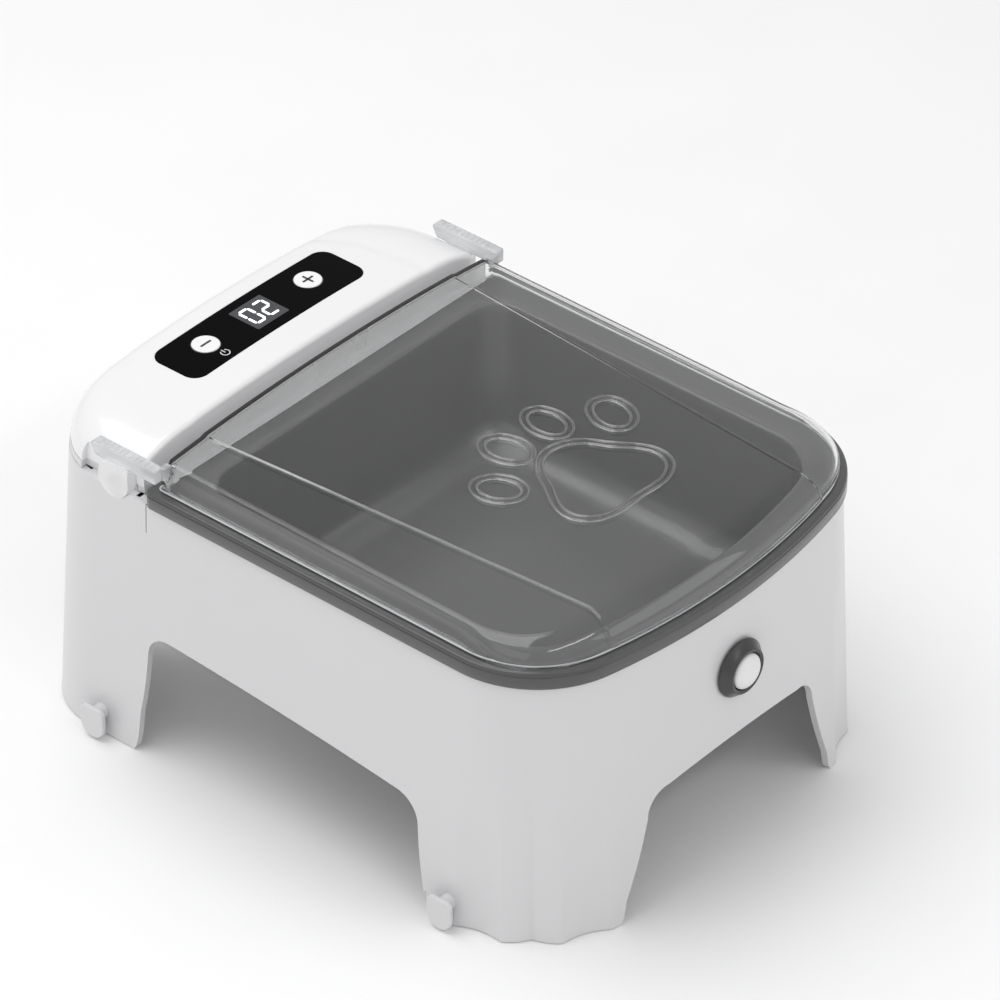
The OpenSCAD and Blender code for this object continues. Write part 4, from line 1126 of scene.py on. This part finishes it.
def dress_frame(context):
    """Gives every frame piece that is still shown a material by its slot."""
    slots = {p["node"]: p["material_slot"] for p in frame["record"]["subparts"]}
    for node, obj in frame["nodes"].items():
        look = SLOT_LOOKS.get(slots[node])
        if look is None or obj.hide_render:
            continue
        tint, rough, metallic = look
        mat = plastic("frame_" + slots[node], tint, rough, 0.08, 1800.0, 0.02, 0.0, 0.5, metallic)
        for k in range(max(1, len(obj.material_slots))):
            if obj.material_slots:
                obj.material_slots[k].link = "OBJECT"
                obj.material_slots[k].material = mat


# ---------------------------------------------------------------- stage

def area_light(name, place, target, size, power, tint=(1, 1, 1)):
    """A soft rectangular light."""
    data = bpy.data.lights.new(name, "AREA")
    data.shape = "RECTANGLE"
    data.size, data.size_y = size
    data.energy = power
    data.color = tint
    obj = bpy.data.objects.new(name, data)
    obj.location = place
    obj.rotation_euler = (Vector(target) - Vector(place)).to_track_quat("-Z", "Y").to_euler()
    bpy.context.scene.collection.objects.link(obj)
    return obj


def build_stage(context):
    """Pale floor, soft studio lights and the camera."""
    c = context.scene.feeder_colours
    mesh = bpy.data.meshes.new("floor")
    reach, under = 6, -0.0005
    corners = [(x * reach, y * reach, under) for x, y in ((-1, -1), (1, -1), (1, 1), (-1, 1))]
    mesh.from_pydata(corners, [], [(0, 1, 2, 3)])
    floor = bpy.data.objects.new("floor", mesh)
    context.scene.collection.objects.link(floor)
    mesh.materials.append(plastic("floor_pale", c.floor, 0.6, 0.02, 900.0, 0.0))
    world = bpy.data.worlds.new("studio")
    context.scene.world = world
    world.use_nodes = True
    world.node_tree.nodes["Background"].inputs["Color"].default_value = (1, 1, 1, 1)
    world.node_tree.nodes["Background"].inputs["Strength"].default_value = 0.62
    area_light("top_light", (-0.3, 0.5, 1.6), (0, 0, 0.1), (1.6, 1.2), 13)
    area_light("left_light", (-1.7, -0.3, 0.9), (0, 0, 0.1), (1.4, 1.2), 2.5)
    area_light("front_light", (0.9, -1.7, 0.9), (0, 0, 0.08), (1.0, 1.0), 3)
    area_light("roll_light", (-0.1, -1.15, 1.45), (0, -0.05, 0.1), (1.1, 0.12), 2.5)
    data = bpy.data.cameras.new("camera")
    camera = bpy.data.objects.new("camera", data)
    context.scene.collection.objects.link(camera)
    context.scene.camera = camera
    az, el = math.radians(-49.15), math.radians(35.91)
    right = Vector((math.cos(az), math.sin(az), 0))
    back = Vector((math.sin(az) * math.cos(el), -math.cos(az) * math.cos(el), math.sin(el)))
    up = back.cross(right)
    target = Vector((0, 0.02081, 0.08))
    camera.location = target + right * 0.02852 + up * 0.01643 + back * 2.8463
    camera.rotation_euler = back.to_track_quat("Z", "Y").to_euler()
    data.sensor_width = 36
    data.lens = 242.7
    data.clip_start, data.clip_end = 0.05, 30
    context.scene.view_settings.view_transform = "Standard"


# ---------------------------------------------------------------- add-on

class FEEDER_OT_stand(bpy.types.Operator):
    """Builds the white four-legged stand."""
    bl_idname = "feeder.stand"
    bl_label = "Build stand"
    bl_options = {"REGISTER", "UNDO"}

    def execute(self, context):
        build_stand(context)
        return {"FINISHED"}


class FEEDER_OT_bowl(bpy.types.Operator):
    """Builds the grey lift-out bowl."""
    bl_idname = "feeder.bowl"
    bl_label = "Build bowl"
    bl_options = {"REGISTER", "UNDO"}

    def execute(self, context):
        build_bowl(context)
        return {"FINISHED"}


class FEEDER_OT_lid(bpy.types.Operator):
    """Builds the clear lid with its arms and paw."""
    bl_idname = "feeder.lid"
    bl_label = "Build lid"
    bl_options = {"REGISTER", "UNDO"}

    def execute(self, context):
        build_lid(context)
        return {"FINISHED"}


class FEEDER_OT_module(bpy.types.Operator):
    """Builds the white control module."""
    bl_idname = "feeder.module"
    bl_label = "Build module"
    bl_options = {"REGISTER", "UNDO"}

    def execute(self, context):
        build_module(context)
        return {"FINISHED"}


class FEEDER_OT_panel(bpy.types.Operator):
    """Builds the black panel, its digits and its keys."""
    bl_idname = "feeder.panel"
    bl_label = "Build panel"
    bl_options = {"REGISTER", "UNDO"}

    def execute(self, context):
        build_panel(context)
        return {"FINISHED"}


class FEEDER_OT_sensor(bpy.types.Operator):
    """Builds the presence sensor."""
    bl_idname = "feeder.sensor"
    bl_label = "Build sensor"
    bl_options = {"REGISTER", "UNDO"}

    def execute(self, context):
        build_sensor(context)
        return {"FINISHED"}


class FEEDER_OT_frame_looks(bpy.types.Operator):
    """Gives the frame pieces that stay in view their materials."""
    bl_idname = "feeder.frame_looks"
    bl_label = "Dress frame pieces"
    bl_options = {"REGISTER", "UNDO"}

    def execute(self, context):
        dress_frame(context)
        return {"FINISHED"}


class FEEDER_OT_stage(bpy.types.Operator):
    """Adds the floor, the lights and the camera."""
    bl_idname = "feeder.stage"
    bl_label = "Build stage"
    bl_options = {"REGISTER", "UNDO"}

    def execute(self, context):
        build_stage(context)
        return {"FINISHED"}


OPERATORS = [
    FEEDER_OT_stand, FEEDER_OT_bowl, FEEDER_OT_lid, FEEDER_OT_module,
    FEEDER_OT_panel, FEEDER_OT_sensor, FEEDER_OT_frame_looks, FEEDER_OT_stage,
]


class FEEDER_PT_panel(bpy.types.Panel):
    """Sidebar panel of the pet feeder."""
    bl_idname = "FEEDER_PT_panel"
    bl_label = "Pet feeder"
    bl_space_type = "VIEW_3D"
    bl_region_type = "UI"
    bl_category = "Pet feeder"

    def draw(self, context):
        for group in (context.scene.feeder_sizes, context.scene.feeder_colours):
            column = self.layout.column()
            for key in group.bl_rna.properties.keys():
                if key not in ("rna_type", "name"):
                    column.prop(group, key)
        for kind in OPERATORS:
            self.layout.operator(kind.bl_idname)


CLASSES = [FeederSizes, FeederColours, *OPERATORS, FEEDER_PT_panel]


def register():
    """Registers the classes and the settings."""
    for kind in CLASSES:
        bpy.utils.register_class(kind)
    bpy.types.Scene.feeder_sizes = PointerProperty(type=FeederSizes)
    bpy.types.Scene.feeder_colours = PointerProperty(type=FeederColours)


def unregister():
    """Takes the settings and the classes out again."""
    del bpy.types.Scene.feeder_sizes
    del bpy.types.Scene.feeder_colours
    for kind in reversed(CLASSES):
        bpy.utils.unregister_class(kind)


def main():
    """Builds everything in order."""
    register()
    for kind in OPERATORS:
        area, name = kind.bl_idname.split(".")
        getattr(getattr(bpy.ops, area), name)()


if __name__ == "__main__":
    main()
